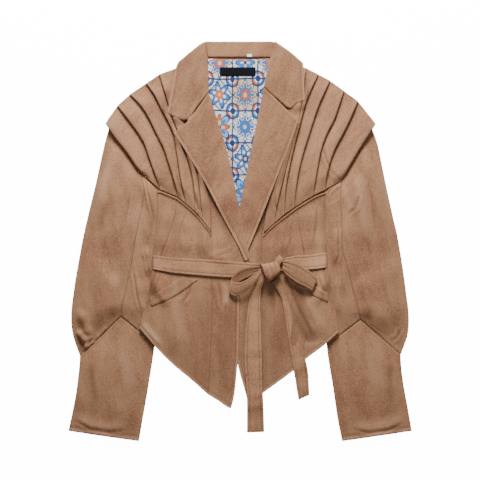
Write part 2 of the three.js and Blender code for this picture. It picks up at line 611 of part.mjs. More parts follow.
const inside = ([x, y]) => [x - 0.3 * Math.sign(x), y];
add("back", sheet(fill({
  top: [[-57, 320], [0, 318], [57, 320]], bottom: [[-175.2, -152], [0, -156], [172, -156]],
  left: [...SHOULDER_L, ...ARMHOLE_L.slice(1), ...SIDE_L.slice(1).map(inside)],
  right: [...SHOULDER_R, ...ARMHOLE_R.slice(1), ...SIDE_R.slice(1, 10).map(inside), [172, -156]],
}, 34, 24), backBed, CLOTH));
add("back_lining", sheet(fill({
  top: [[-56, 318.5], [0, 317], [54, 318.5]], bottom: [[-10, 52], [9, 52]],
  left: [[-56, 318.5], [-66, 270], [-52, 200], [-30, 110], [-10, 52]],
  right: [[54, 318.5], [58, 270], [44, 200], [26, 110], [9, 52]],
}, 16, 6), (x, y) => LINING_BED + backBed(x, y), LINING), LININGS);
add("neck_label", sheet(fill({
  top: [[-34.5, 304], [27.5, 306]], bottom: [[-34.5, 289], [27.5, 290.5]],
  left: [[-34.5, 304], [-34.5, 289]], right: [[27.5, 306], [27.5, 290.5]],
}, 2, 4), (x, y) => LINING_BED + LINING + 0.3 + backBed(x, y), 1), LABELS);


// Part of a line between two of its rows
const part = (line, from, to) => line.slice(from, to);

add("size_tab", sheet(fill({
  top: [[13, 327], [21.5, 327]], bottom: [[13, 322], [21.5, 322]],
  left: [[13, 327], [13, 322]], right: [[21.5, 327], [21.5, 322]],
}, 1, 1), () => COLLAR_STEP + COLLAR_PLY + 0.3, 1), TABS);

add("front_side_left", sheet(fill({
  top: [[-144, 87], [-138, 87.5], [-111, 76.5]], bottom: [[-147, -29], [-139, -29]],
  left: [[-144, 87], ...part(SIDE_L, 1, 4), [-147, -29]],
  right: [[-111, 76.5], ...part(PRINCESS_L, 1, 5)],
}, 9, 4, { top: SEAM, right: 2 * SEAM }), frontBed, CLOTH));
add("front_panel_left", sheet(fill({
  top: part(YOKE_SEAM_L, 1, 6), bottom: HEM_L,
  left: [[-111.5, 77.5], ...part(PRINCESS_L, 1, 4), [-139.5, -32], [-146.6, -39], ...part(SIDE_L, 5, 11)],
  right: [[-50, 11], ...part(SEAM_L, 7, 12)],
}, 18, 7, { top: SEAM, left: SEAM, right: SEAM }), leftCentreBed, CLOTH));
add("front_centre_left", sheet(fill({
  top: [[-74, 286], [-54.5, 259]], bottom: HEM_TIP_L,
  left: [[-74, 286], ...part(SEAM_L, 1, 12)],
  right: [...ROLL_L, ...EDGE_L.slice(1)],
}, 30, 5, { left: SEAM }), leftCentreBed, CLOTH));
add("front_side_right", sheet(fill({
  top: [[150, 86], [130.5, 78], [101, 60.5]], bottom: [[147, -25], [113, -25]],
  left: [...part(SIDE_R, 0, 4), [147, -25]], right: [[101, 60.5], ...part(PRINCESS_R, 1, 3), [112, -16], [113, -25]],
}, 9, 4, { top: SEAM, right: 3 * SEAM }), frontBed, CLOTH));
add("front_panel_right", sheet(fill({
  top: [[101, 60.5], [77, 42.5], [55, 25], [41, 10]], bottom: HEM_R,
  left: [[101, 60.5], ...part(PRINCESS_R, 1, 4), [112.3, -30], [116, -34], [130, -36], [146.6, -39], [147, -49], ...part(SIDE_R, 6, 11)],
  right: [[41, 10], ...part(SEAM_R, 8, 13)],
}, 18, 7, { top: SEAM, left: SEAM, right: SEAM }), frontBed, CLOTH));
add("front_centre_right", sheet(fill({
  top: [[75.5, 290], [42.5, 269]], bottom: HEM_TIP_R,
  left: [[75.5, 290], ...part(SEAM_R, 1, 13)],
  right: [...ROLL_R, ...EDGE_R.slice(1)],
}, 30, 5, { left: SEAM }), frontBed, CLOTH));

add("pocket_welt_left", sheet(fill(WELT_L, 1, 7), (x, y) => leftCentreBed(x, y) + CLOTH + WELT_LIFT, WELT));
add("pocket_welt_right", sheet(fill(WELT_R, 1, 6), (x, y) => frontBed(x, y) + CLOTH + WELT_LIFT, WELT));

const DEPTHS = [0, 9, 9, 9, 9, 9, 9];
add("yoke_left", yoke(PLEATS_L, 9, DEPTHS));
add("yoke_right", yoke(PLEATS_R, 9, DEPTHS));
add("lapel_left", sheet(fill(LAPEL_L, 16, 5), (x, y) => lapelBed(x, y, SEAM_L) + overlap(x, y), LAPEL));
add("lapel_right", sheet(fill(LAPEL_R, 16, 5), (x, y) => lapelBed(x, y, SEAM_R), LAPEL));
add("collar_left", sheet(fill(COLLAR_L, 8, 5, { bottom: SEAM }), (x, y) => lapelBed(x, y, SEAM_L), LAPEL));
add("collar_right", sheet(fill(COLLAR_R, 8, 5, { bottom: SEAM }), (x, y) => lapelBed(x, y, SEAM_R), LAPEL));
add("collar_back", collarBack());
add("sleeve_top_left", sleevePiece(SLEEVE_L, 14, true, 2.6));
add("sleeve_under_left", sleevePiece(SLEEVE_L, 14, false, 2.6));
add("cuff_left", cuff(CUFF_L, 8, 2.2));
add("sleeve_top_right", sleevePiece(SLEEVE_R, 14, true, 2.6));
add("sleeve_under_right", sleevePiece(SLEEVE_R, 14, false, 2.6));
add("cuff_right", cuff(CUFF_R, 8, 2.2));
add("belt_band", beltBand());
add("belt_knot", knot());
add("bow_loop_left", ribbon(LOOP_L, 26, 1.6));
add("bow_loop_right", ribbon(LOOP_R, 26, 1.6));
add("belt_tail_left", ribbon(TAIL_1, 22, 2));
add("belt_tail_right", ribbon(TAIL_2, 22, 2));

export default jacket;
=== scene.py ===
import bpy
import numpy as np
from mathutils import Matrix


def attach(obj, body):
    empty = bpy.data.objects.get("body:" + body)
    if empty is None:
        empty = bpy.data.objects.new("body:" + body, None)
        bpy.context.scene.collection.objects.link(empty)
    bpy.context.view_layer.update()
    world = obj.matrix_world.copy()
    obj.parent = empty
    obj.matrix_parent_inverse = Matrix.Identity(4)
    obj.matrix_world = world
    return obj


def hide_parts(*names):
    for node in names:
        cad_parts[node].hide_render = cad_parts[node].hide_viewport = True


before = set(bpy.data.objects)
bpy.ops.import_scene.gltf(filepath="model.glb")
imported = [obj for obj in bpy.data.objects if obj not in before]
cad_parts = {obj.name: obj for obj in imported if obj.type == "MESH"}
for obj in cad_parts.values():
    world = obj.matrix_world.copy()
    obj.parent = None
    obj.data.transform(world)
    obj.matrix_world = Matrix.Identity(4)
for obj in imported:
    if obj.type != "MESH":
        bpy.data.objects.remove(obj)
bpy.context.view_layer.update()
print("frame loaded:", len(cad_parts), "pieces")

mm = 0.001

# lines and heights that every piece shares, as in the cut of the jacket, in millimetres
layers = {
    "cloth": 1.4, "air": 0.5, "lapel": 2.0, "lining": 1.0, "liningBed": 1.8, "frontBed": 2.3,
    "liningStep": 1.4, "overlapStep": 4.4, "crossStep": 2.2, "sleeveStep": 6.2, "belt": 2.0, "beltStep": 2.4,
    "collarStep": 2.6, "collarPly": 1.8,
}
cloth = layers["cloth"]
pleatPly = layers["cloth"] + 0.4
pleatTop = 3 * pleatPly + layers["air"]


def line(*rows):
    # a table of points or stations, one row each
    return np.array(rows, float)


shoulderLeft = line([-57, 320], [-104, 303], [-141, 287], [-164, 271], [-192, 252], [-213, 231],
                    [-227, 202.4])
armholeLeft = line([-227, 202.4], [-209, 176.9], [-191, 151.2], [-173.2, 125.5], [-161, 106.3],
                   [-152, 95])
shoulderRight = line([57, 320], [104, 303], [141, 287], [164, 271], [192, 252], [214, 231], [229, 202.6])
armholeRight = line([229, 202.6], [212.6, 174.9], [196.3, 147.1], [180, 119.3], [164, 98.3], [157, 89])
sideLeft = line([-145, 88], [-145, 64], [-145.8, 34], [-151.4, -21], [-147.2, -29.5], [-147.2, -43],
                [-153, -52], [-158, -86], [-164, -105], [-170, -129], [-175.5, -152])
hemLeft = line([-175.5, -152], [-148, -184], [-118, -214.5], [-84, -243], [-56, -268])
hemTipLeft = line([-56, -268], [-38, -279], [-22, -290], [-15, -292.5])
rollLeft = line([-54.5, 259], [-40.5, 215.5], [-26.5, 173], [-12.5, 116], [-2, 62.5], [7.5, 16],
                [16, -31])
edgeLeft = line([16, -31], [2.5, -64.5], [-0.5, -103], [-2, -181], [-4, -218.5], [-9, -267.5],
                [-15, -292.5])
seamLeft = line([-76.5, 317], [-71, 259.5], [-66, 194.5], [-60.5, 142], [-58, 107], [-52, 62.5],
                [-50, 11], [-50, -36.5], [-49, -103], [-50, -169.5], [-53, -230], [-56, -268])
princessLeft = line([-110.5, 76.5], [-113, 46], [-123.5, 11], [-135, -19], [-139, -29])
yokeSeamLeft = line([-138, 88], [-111.5, 77.5], [-91.5, 61.5], [-73.5, 44.5], [-53.5, 19.5], [-50, 11])
sideRight = line([150, 86], [150, 63.5], [150, 33.5], [151.4, -16], [147.2, -24.5], [147.2, -40],
                 [153.5, -49], [158.5, -86], [164, -105], [169.5, -132], [173, -159])
hemRight = line([173, -159], [148.5, -181], [116, -206], [93.5, -227], [41, -265.5])
hemTipRight = line([41, -265.5], [28, -276], [15.5, -285])
rollRight = line([42.5, 269], [25.5, 186], [10, 108], [0, 59], [-9, 11], [-16, -31])
edgeRight = line([-16, -31], [-20.5, -68], [-17, -120.5], [-10, -173], [-3, -218.5], [7.5, -257],
                 [15.5, -285])
seamRight = line([77.5, 317], [74, 259.5], [67, 194.5], [58.5, 142], [51.5, 107], [46, 63.5], [41, 28.5],
                 [38, 2], [37.5, -36.5], [38, -68], [39, -115], [40, -181.5], [41, -265.5])
princessRight = line([100.5, 60.5], [103, 33.5], [107.5, 5.5], [111, -19], [112, -28])


def ease(a, b, x):
    # 0 below a, 1 beyond b, three t squared minus two t cubed between
    t = np.clip((np.asarray(x, float) - a) / (b - a), 0, 1)
    return t * t * (3 - 2 * t)


def mix(a, b, t):
    # a, then t of the way from a to b
    return a + (b - a) * t


def hump(d, width, at=0.0):
    # a bell round one place: exp(-((d - at) / width) squared)
    return np.exp(-((d - at) / width) ** 2)


def along(table, t):
    # point at t of 0..1 of a line's length, cubic between rows with each tangent half the step across a row
    table = np.asarray(table, float)
    t = np.clip(np.atleast_1d(np.asarray(t, float)), 0, 1)
    reach = np.concatenate([[0], np.cumsum(np.hypot(*np.diff(table[:, :2], axis=0).T))])
    want = t * reach[-1]
    i = np.clip(np.searchsorted(reach, want, side="left"), 1, len(table) - 1)
    s = ((want - reach[i - 1]) / (reach[i] - reach[i - 1]))[:, None]
    before, a, b = table[np.maximum(i - 2, 0)], table[i - 1], table[i]
    after = table[np.minimum(i + 1, len(table) - 1)]
    m1, m2 = (b - before) / 2, (after - a) / 2
    return a + s * (m1 + s * (3 * (b - a) - 2 * m1 - m2 + s * (2 * (a - b) + m1 + m2)))


def lengthOf(table):
    # the sum of the steps from row to row, in x and y
    return float(np.hypot(*np.diff(np.asarray(table)[:, :2], axis=0).T).sum())


def seamX(seam, y):
    # x of a seam at y, straight between its rows
    return np.interp(y, seam[::-1, 1], seam[::-1, 0])


def sleeveLift(x, y):
    # the body lies up over each sleeve: a whole step from the side seam out, eased in below the armhole
    return layers["sleeveStep"] * ease(100, 146, np.abs(x)) * ease(-8, -73, y)


def backBed(x, y):
    # under the back: the sleeve's step plus the larger of the belt's step and the collar's
    belt = layers["beltStep"] * ease(22, -10, y) * ease(-100, -66, y)
    collar = layers["collarStep"] * ease(238, 286, y) * ease(122, 72, np.abs(x))
    return sleeveLift(x, y) + np.maximum(belt, collar)


def frontBed(x, y):
    # under a front: its own step, the lining's within the neck opening, which widens upward, and the back's
    half = 10 + 64 * np.clip((y - 50) / 270, 0, 1)
    lining = layers["liningStep"] * ease(0, 16, half + 24 - np.abs(x)) * ease(24, 48, y)
    return layers["frontBed"] + lining + backBed(x, y)


def overlap(x, y):
    # lift of the left front over the right one: the small step at the hem, the whole step above the belt
    step = mix(layers["crossStep"], layers["overlapStep"], ease(-80, -24, y))
    return step * ease(-62, -24, x) * ease(120, 66, y)


def leftCentreBed(x, y):
    # under the left front: the front's height plus its lift
    return frontBed(x, y) + overlap(x, y)


def lapelBed(x, y, seam):
    # over the front's cloth, climbing to the top of the pleats within 23 mm beyond the front's seam
    side = np.sign(seam[0, 0])
    climb = (pleatTop - layers["cloth"]) * ease(-26, -3, (x - seamX(seam, y)) * side)
    return frontBed(x, y) + layers["cloth"] + layers["air"] + climb


# soft folds: from x, y to x, y, half width, height
foldRise = 1.7
bodyFolds = [
    (-132, -70, -118, -190, 13, 2.6), (-104, -66, -96, -205, 11, 1.8), (-80, -66, -74, -232, 15, 2.2),
    (-28, -70, -30, -240, 12, 2.0), (64, -120, 60, -230, 10, 1.4), (100, -95, 96, -205, 12, 2.4),
    (128, -95, 136, -170, 11, 2.2), (-90, 36, -96, -20, 9, 1.6), (-66, 40, -62, -24, 8, 1.4),
    (-128, 60, -138, -16, 7, 1.8), (72, 30, 76, -20, 8, 1.5), (128, 62, 124, -16, 9, 1.8),
    (-30, 150, -24, 60, 14, 1.2), (24, 120, 16, 60, 12, 1.2), (-12, -36, -60, -22, 9, 1.2),
    (-150, -66, -128, -112, 8, 2.2), (150, -66, 132, -112, 8, 2.2),
]
sleeveLeftFolds = [
    (-214, 172, -246, 30, 15, 4.2), (-200, 120, -222, -20, 11, 3.2), (-236, 120, -262, -60, 12, 2.6),
    (-188, 60, -206, -70, 10, 2.8), (-262, -20, -276, -140, 13, 3.4), (-238, -40, -246, -150, 14, 3.6),
    (-216, -60, -224, -132, 9, 2.2), (-286, -160, -268, -176, 5, 3.6), (-278, -186, -262, -186, 4.5, 2.6),
    (-254, -174, -266, -188, 4, 2.4), (-250, -178, -232, -150, 5, 2.2), (-166, -10, -158, -60, 6, 2.0),
    (-172, -70, -166, -130, 8, 2.2), (-280, -120, -262, -170, 8, 2.6),
]
sleeveRightFolds = [
    (214, 168, 246, 30, 15, 4.2), (202, 120, 224, -10, 11, 3.2), (238, 124, 262, -50, 12, 2.8),
    (190, 40, 200, -60, 9, 2.6), (262, -30, 276, -150, 14, 3.4), (236, -50, 248, -160, 13, 3.2),
    (216, -60, 226, -130, 10, 2.4), (172, -60, 170, -130, 8, 2.2), (170, 20, 168, -40, 7, 2.0),
]
cuffLeftFolds = [
    (-238, -160, -262, -320, 16, 2.4), (-206, -170, -214, -330, 14, 1.8),
    (-180, -200, -190, -330, 12, 1.6),
]
cuffRightFolds = [
    (238, -165, 268, -320, 16, 2.2), (206, -170, 214, -330, 14, 1.8),
    (178, -210, 190, -330, 12, 1.6),
]


def folds(rows, x, y):
    # each fold adds height times a bell of its distance over its width, fading in and out along its run
    total = np.zeros_like(np.asarray(x, float))
    for x0, y0, x1, y1, width, height in rows:
        dx, dy = x1 - x0, y1 - y0
        t = ((x - x0) * dx + (y - y0) * dy) / (dx * dx + dy * dy)
        off = np.abs((x - x0) * dy - (y - y0) * dx) / np.hypot(dx, dy)
        off = off + 0.12 * width * np.sin(9 * t + x0)
        total += height * hump(off, width) * ease(-0.12, 0.3, t) * ease(1.12, 0.7, t)
    return total


# sharper creases, painted darker as shade along a dip or, where the depth is negative, paler as highlight
# along a
# ridge: depth, half width, then the points they run through
bodyCreases = [
    (1.6, 1.9, [-147.2, -55.5], [-152.6, -77.4], [-157, -97.5]),
    (1.1, 1.7, [-138, -57.4], [-146.5, -80], [-151.7, -94]),
    (1.2, 2.2, [-84, -66], [-88, -92], [-104, -112]),
    (1.4, 2.6, [-38, -70], [-34, -96], [-30, -120]),
    (1.3, 2.4, [-24, -92], [-26, -150], [-28, -215]),
    (1.6, 2.8, [84, -70], [98, -110], [118, -150], [128, -172]),
    (1.2, 2.0, [137, -60], [143, -80], [148, -92]),
    (1.0, 1.8, [146, -52], [152, -80], [158, -112]),
    (1.0, 2.0, [56, -74], [60, -120], [60, -190]),
    (1.5, 1.8, [-156, 134], [-160, 126], [-168, 115]),
    (1.4, 1.8, [144, 170], [151, 142], [158, 126], [176, 103]),
    (1.2, 2.2, [-112, 118], [-106, 98], [-98, 80]),
    (1.3, 2.4, [-84, 92], [-76, 70], [-72, 56], [-66, 52]),
    (1.2, 2.2, [64, 120], [60, 92], [62, 62], [70, 44]),
    (1.0, 2.2, [-96, 46], [-104, 18], [-110, -18]),
    (0.9, 2.0, [-64, 20], [-66, -8], [-64, -26]),
    (1.1, 2.2, [136, 66], [134, 30], [128, -14]),
    (0.9, 2.0, [92, 36], [90, 8], [86, -16]),
    (0.9, 1.8, [-8, -12], [-24, -22], [-44, -27]),
]
sleeveLeftCreases = [
    (1.9, 1.7, [-164, 110.6], [-160.5, 86], [-151.7, 44], [-149.4, 18]),
    (1.0, 1.6, [-168, -15.4], [-163.3, -28.5], [-159.3, -52.2], [-156, -62.7]),
    (1.3, 1.7, [-186, -50], [-179.7, -96], [-172.7, -124]),
    (3.2, 2.6, [-291, -160], [-283, -168], [-276, -180], [-272.3, -191]),
    (2.4, 2.0, [-252, -172], [-260.6, -175.4], [-264.4, -182.5], [-266, -190]),
    (2.2, 1.8, [-280, -194.8], [-270, -196], [-262, -189]),
    (0.6, 7, [-288, -160], [-276, -184], [-264, -194]),
    (-0.8, 3, [-262, -166], [-268, -172], [-274, -176]),
    (1.0, 2.2, [-190, 92], [-198, 40], [-206, 6]),
    (-0.3, 8, [-172, 76], [-176, 30], [-178, -16]),
    (-0.3, 10, [-226, 150], [-244, 90], [-258, 20]),
    (-0.3, 8, [-282, -70], [-284, -110], [-282, -140]),
    (0.9, 2.0, [-232, 20], [-240, -30], [-244, -70]),
]
cuffLeftCreases = [
    (-0.9, 6, [-290, -304], [-262, -318], [-232, -323], [-196, -320]),
    (1.0, 2, [-292, -312], [-262, -328], [-228, -334], [-192, -330]),
    (-0.4, 9, [-206, -190], [-198, -228], [-186, -262]),
    (0.6, 9, [-262, -210], [-256, -250], [-250, -290]),
]
cuffRightCreases = [
    (-0.9, 6, [290, -306], [258, -320], [228, -324], [198, -320]),
    (1.0, 2, [288, -318], [258, -331], [226, -335], [192, -328]),
    (-0.4, 9, [224, -180], [232, -226], [246, -262]),
    (0.6, 9, [262, -210], [262, -250], [266, -290]),
]
sleeveRightCreases = [
    (1.6, 1.8, [176, 102], [166, 97], [154.5, 84], [152, 66]),
    (-0.6, 4.5, [178, 104], [188, 74], [198, 50]),
    (0.9, 2.4, [190, 46], [202, 58], [210, 84]),
    (1.0, 2.2, [172, 26], [172, -26], [168, -47]),
    (0.9, 1.7, [176, -40], [180, -76], [188, -104]),
    (1.0, 2.2, [222, 120], [232, 60], [238, 10]),
    (-0.3, 10, [204, 120], [214, 60], [220, 0]),
    (-0.3, 9, [246, 150], [262, 80], [272, 0]),
    (1.0, 2.0, [284, -150], [276, -168], [262, -176]),
]

# soft painted shade where one layer hangs over the next, in valleys and over broad parts of the body, and
# painted highlight where the strength is below zero: strength, half width, then the points it runs through
bodyShades = [
    (-0.75, 5, [-170, -142], [-156, -157], [-138, -178]),
    (-0.35, 7, [-24, -72], [-21, -92], [-26, -118]),
    (-0.35, 5, [112, -178], [130, -179], [152, -172]),
    (-0.25, 8, [104, -60], [122, -110], [150, -150]),
    (-0.25, 9, [-116, -60], [-110, -120], [-96, -180]),
    (0.85, 13, [96, -84], [104, -115], [114, -150], [130, -178]),
    (0.60, 7, [-147, 92], [-146, 34], [-149, -20], [-148, -45], [-155, -80], [-168, -132]),
    (0.60, 7, [152, 92], [149, 34], [150, -16], [149, -42], [156, -78], [170, -128]),
    (0.45, 5, [-139, 84], [-110, 72], [-80, 49], [-52, 9]),
    (0.45, 5, [148, 82], [101, 55], [77, 37], [43, 5]),
    (0.50, 7, [60, -66], [67, -92], [74, -120], [79, -150], [84, -175], [90, -210]),
    (0.50, 6, [40, -66], [42, -120], [43, -190], [44, -270]),
    (0.45, 6, [16, -84], [12, -110], [6, -160], [5, -230]),
    (0.45, 8, [-12, -82], [-16, -104], [-22, -130], [-26, -170]),
    (0.40, 7, [46, -64], [56, -90], [62, -130]),
    (0.35, 5, [-147, -52], [-80, -62], [-10, -66]),
    (0.35, 5, [112, -54], [147, -50]),
    (0.70, 6, [-122, 196], [-112, 180], [-91, 148], [-62, 96], [-34, 42], [-8, -10]),
    (0.70, 6, [108, 214], [92, 168], [66, 104], [44, 58], [28, 20], [14, -10]),
    (0.80, 5, [-92, 212], [-104, 206], [-122, 212]),
    (0.80, 5, [84, 234], [98, 228], [116, 236]),
    (0.55, 5, [-124, 268], [-129, 240], [-132, 220]),
    (0.45, 5, [117, 300], [117, 262], [117, 240]),
    (0.35, 12, [-70, -90], [-64, -150], [-60, -230]),
    (0.30, 12, [56, -130], [58, -200], [60, -260]),
    (0.44, 24, [78, -110], [84, -160], [70, -205]),
    (0.36, 22, [-132, -185], [-100, -215], [-62, -250]),
    (0.40, 18, [22, 18], [60, 12], [100, 30]),
    (0.42, 20, [26, -30], [60, -30], [104, -34]),
    (0.38, 18, [-124, 40], [-116, 0], [-120, -38]),
    (0.32, 14, [-70, 20], [-62, -10], [-64, -44]),
    (0.32, 20, [-24, -160], [-22, -220], [-24, -280]),
]


def nearest(points, x, y):
    # distance of each x, y from the line through the points, and how far along that line the place is, 0 to 1
    points = line(*points)
    reach = np.concatenate([[0], np.cumsum(np.hypot(*np.diff(points, axis=0).T))])
    best = np.full(np.shape(x), 1e9)
    place = np.zeros_like(best)
    for k in range(len(points) - 1):
        (ax, ay), (bx, by) = points[k], points[k + 1]
        long = reach[k + 1] - reach[k]
        t = np.clip(((x - ax) * (bx - ax) + (y - ay) * (by - ay)) / long ** 2, 0, 1)
        d = np.hypot(x - ax - t * (bx - ax), y - ay - t * (by - ay))
        place = np.where(d < best, (reach[k] + t * long) / reach[-1], place)
        best = np.minimum(best, d)
    return best, place


def strongest(a, b):
    # of two marks, dark above zero and pale below, the one further from zero
    return np.where(np.abs(b) > np.abs(a), b, a)


# a crease's relief, its painted shade in the dip (dark) and its painted highlight on a ridge (pale)
creaseLook = {
    "swell": 0.9, "swellAt": 2.3, "swellWidth": 1.5, "dip": 0.5,
    "darkTone": 0.62, "darkCore": 0.6, "paleTone": -0.27, "paleCore": 1.1,
}


def creaseParts(rows, x, y):
    # along a crease the cloth dips by a bell and swells on both sides, fading at its ends; the dip is also
    # painted a little darker as shade, and a ridge, whose depth is negative, painted a little paler as
    # highlight
    look = creaseLook
    relief = np.zeros_like(np.asarray(x, float))
    dark = np.zeros_like(relief)
    for depth, width, *points in rows:
        best, place = nearest(points, x, y)
        fade = ease(-0.02, 0.22, place) * ease(1.02, 0.75, place)
        swell = look["swell"] * hump(best, look["swellWidth"] * width, look["swellAt"] * width)
        relief += fade * depth * (swell - look["dip"] * hump(best, width))
        kind = "dark" if depth > 0 else "pale"
        dark = strongest(dark, look[kind + "Tone"] * fade * hump(best, look[kind + "Core"] * width))
    return relief, dark


def bodyPaintedShading(x, y):
    # painted shading of the body: the creases' painted shade and highlight over the soft painted shades and
    # highlights, each shade a bell of its distance, faded at its ends
    dark = creaseParts(bodyCreases, x, y)[1]
    for strength, width, *points in bodyShades:
        best, place = nearest(points, x, y)
        fade = ease(-0.05, 0.15, place) * ease(1.05, 0.8, place)
        dark = strongest(dark, strength * fade * hump(best, width))
    return dark


def bodyFold(x, y):
    # the fronts' folds times their rise, gone above the collar's fall, plus the creases
    return foldRise * folds(bodyFolds, x, y) * ease(300, 250, y) + creaseParts(bodyCreases, x, y)[0]


print("lines ready")


def placed(name, data):
    # an object at the origin that shows the mesh, lamp or camera
    holder = bpy.data.objects.new(name, data)
    bpy.context.scene.collection.objects.link(holder)
    return holder


def marked(mesh, marks):
    # how dark (above zero: seam and stitch lines and painted shade) or pale (below zero: painted highlight)
    # each point of the cloth is drawn
    layer = mesh.attributes.new("seamAndPaintedLightMark", "FLOAT", "POINT")
    layer.data.foreach_set("value", np.asarray(marks, np.float32).ravel())


def meshFrom(name, points, quads, marks=None):
    # one mesh from points in millimetres and four-cornered faces
    mesh = bpy.data.meshes.new(name)
    mesh.vertices.add(len(points))
    mesh.vertices.foreach_set("co", (np.asarray(points) * mm).astype(np.float32).ravel())
    mesh.loops.add(quads.size)
    mesh.loops.foreach_set("vertex_index", quads.astype(np.int32).ravel())
    mesh.polygons.add(len(quads))
    mesh.polygons.foreach_set("loop_start", np.arange(0, quads.size, 4, dtype=np.int32))
    mesh.polygons.foreach_set("loop_total", np.full(len(quads), 4, dtype=np.int32))
    mesh.update(calc_edges=True)
    mesh.polygons.foreach_set("use_smooth", np.ones(len(quads), dtype=bool))
    if marks is not None:
        marked(mesh, marks)
    mesh.validate()
    return placed(name, mesh)


def normals(grid):
    # across one way times along the other, made one long
    du = np.gradient(grid, axis=1)
    dv = np.gradient(grid, axis=0)
    n = np.cross(dv, du)
    return n / np.maximum(np.linalg.norm(n, axis=2, keepdims=True), 1e-9)


def rim(count, rounded):
    # thickness near an edge: about a third at the rim, then four fifths, then full
    f = np.ones(count)
    if rounded:
        f[[0, -1]], f[[1, -2]] = 0.35, 0.82
    return f


def wallFrom(name, mid, thick, marks=None, roundCols=True):
    # closed cloth: the grid of points moved half the thickness out and in, joined round its rim
    rows, cols = mid.shape[:2]
    half = 0.5 * thick * (rim(rows, True)[:, None] * rim(cols, roundCols)[None, :])[..., None]
    n = normals(mid)
    points = np.concatenate([(mid + n * half).reshape(-1, 3), (mid - n * half).reshape(-1, 3)])
    o = np.arange(rows * cols).reshape(rows, cols)
    i = o + rows * cols

    def quads(a, b, c, d):
        # one face from each set of four corners
        return np.stack([a.ravel(), b.ravel(), c.ravel(), d.ravel()], axis=1)

    faces = np.concatenate([
        quads(o[:-1, :-1], o[1:, :-1], o[1:, 1:], o[:-1, 1:]),
        quads(i[:-1, :-1], i[:-1, 1:], i[1:, 1:], i[1:, :-1]),
        quads(o[1:, 0], o[:-1, 0], i[:-1, 0], i[1:, 0]),
        quads(o[:-1, -1], o[1:, -1], i[1:, -1], i[:-1, -1]),
        quads(o[0, :-1], o[0, 1:], i[0, 1:], i[0, :-1]),
        quads(o[-1, 1:], o[-1, :-1], i[-1, :-1], i[-1, 1:]),
    ])
    both = None if marks is None else np.concatenate([marks.ravel(), marks.ravel()])
    return meshFrom(name, points, faces, both)


edgeSteps = {"near": [0, 0.4, 0.9, 1.6, 2.4, 3.4, 4.4, 5.3, 6.2, 7.1], "inner": 8.4, "narrow": 24}


def spans(length, step):
    # places across a piece as shares of its length, close together by both edges, even between
    if length < edgeSteps["narrow"]:
        return np.linspace(0, 1, 9)
    near, inner = np.array(edgeSteps["near"]), edgeSteps["inner"]
    even = np.linspace(inner, length - inner, max(2, int((length - 2 * inner) / step)))
    return np.concatenate([near, even, length - near[::-1]]) / length


def fill(piece, rows, cols):
    # the four edge lines blended: between sides plus between ends, less the corners' own blend
    top, bottom = along(piece["top"], cols), along(piece["bottom"], cols)
    left, right = along(piece["left"], rows), along(piece["right"], rows)
    u, v = cols[None, :, None], rows[:, None, None]
    corners = mix(mix(top[0], top[-1], u), mix(bottom[0], bottom[-1], u), v)
    return mix(left[:, None], right[:, None], u) + mix(top[None], bottom[None], v) - corners


# each finish of an edge: a step (height, from, to), bells of height and bells of tone (size, width, place);
# a tone above zero is a dark seam or stitch line, partly painted shade in its groove, and below zero painted
# highlight along a raised rim
edgeForms = {
    "seam": {"bells": [(-0.5, 1.5, 0), (0.3, 2.2, 4)], "tones": [(0.6, 0.9, 0)]},
    "double": {"step": (1.9, 7.5, 1.0), "bells": [(-0.5, 1.0, 0), (-0.5, 0.9, 4.8)],
               "tones": [(0.75, 0.9, 0), (0.6, 0.8, 4.8)]},
    "hem": {"step": (0.7, 8.5, 4.5), "bells": [(-0.3, 1.2, 0), (-0.6, 1.2, 6.2)],
            "tones": [(0.95, 1.4, 6.2), (-0.5, 1.5, 2.6)]},
    "edge": {"step": (0.4, 6.5, 1.5), "bells": [(-0.25, 1.0, 0), (-0.5, 1.3, 5.4)],
             "tones": [(0.7, 1.2, 5.4), (-0.4, 1.4, 1.6)]},
    "roll": {"sink": 0.45, "reach": 5},
    "none": {},
}


def edgeForm(kind, d, thick):
    # at distance d from an edge: its step and bells of height, or a roll's sink by the square of what is left
    # of its reach, and the sum of its bells of tone: dark lines partly painted groove shade, pale painted
    # highlight
    form = edgeForms[kind]
    size, start, end = form.get("step", (0, 1, 0))
    move = size * ease(start, end, d) + sum(size * hump(d, *bell) for size, *bell in form.get("bells", ()))
    if kind == "roll":
        move = -form["sink"] * thick * np.clip(1 - d / form["reach"], 0, 1) ** 2
    return move, 0 * d + sum(size * hump(d, *bell) for size, *bell in form.get("tones", ()))


def edgeDistances(grid):
    # distance of each point from the piece's four edges, measured along its own row or column
    return {
        side: np.linalg.norm(grid - edge, axis=2) for side, edge in (
            ("left", grid[:, :1]), ("right", grid[:, -1:]), ("top", grid[:1]), ("bottom", grid[-1:]))
    }


jacketStitches = []


def stitchAlong(top, side, inset):
    # run of stitching on a grid's upper face, a fixed distance in from one edge
    g = {"left": top, "right": top[:, ::-1], "top": top.transpose(1, 0, 2),
         "bottom": top[::-1].transpose(1, 0, 2)}[side]
    steps = np.linalg.norm(np.diff(g[..., :2], axis=1), axis=2)
    reach = np.concatenate([np.zeros((len(g), 1)), np.cumsum(steps, axis=1)], axis=1)
    k = np.clip((reach < inset).sum(axis=1), 1, g.shape[1] - 1)
    r = np.arange(len(g))
    s = np.clip((inset - reach[r, k - 1]) / np.maximum(reach[r, k] - reach[r, k - 1], 1e-6), 0, 1)[:, None]
    ok = reach[:, -1] > 2 * inset
    jacketStitches.append(mix(g[r, k - 1], g[r, k], s)[ok])


smallestSheet = 0.0101


def dress(piece, material, node, slot, cut, restsOn=()):
    # hands a finished piece to the frame: gives it its material, hangs it from the frame's root and hides the
    # part it stands for
    piece.data.materials.append(material)
    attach(piece, "root")
    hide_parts(node)
    width, length, area = cut
    if min(width, length) > smallestSheet:
        list(restsOn)


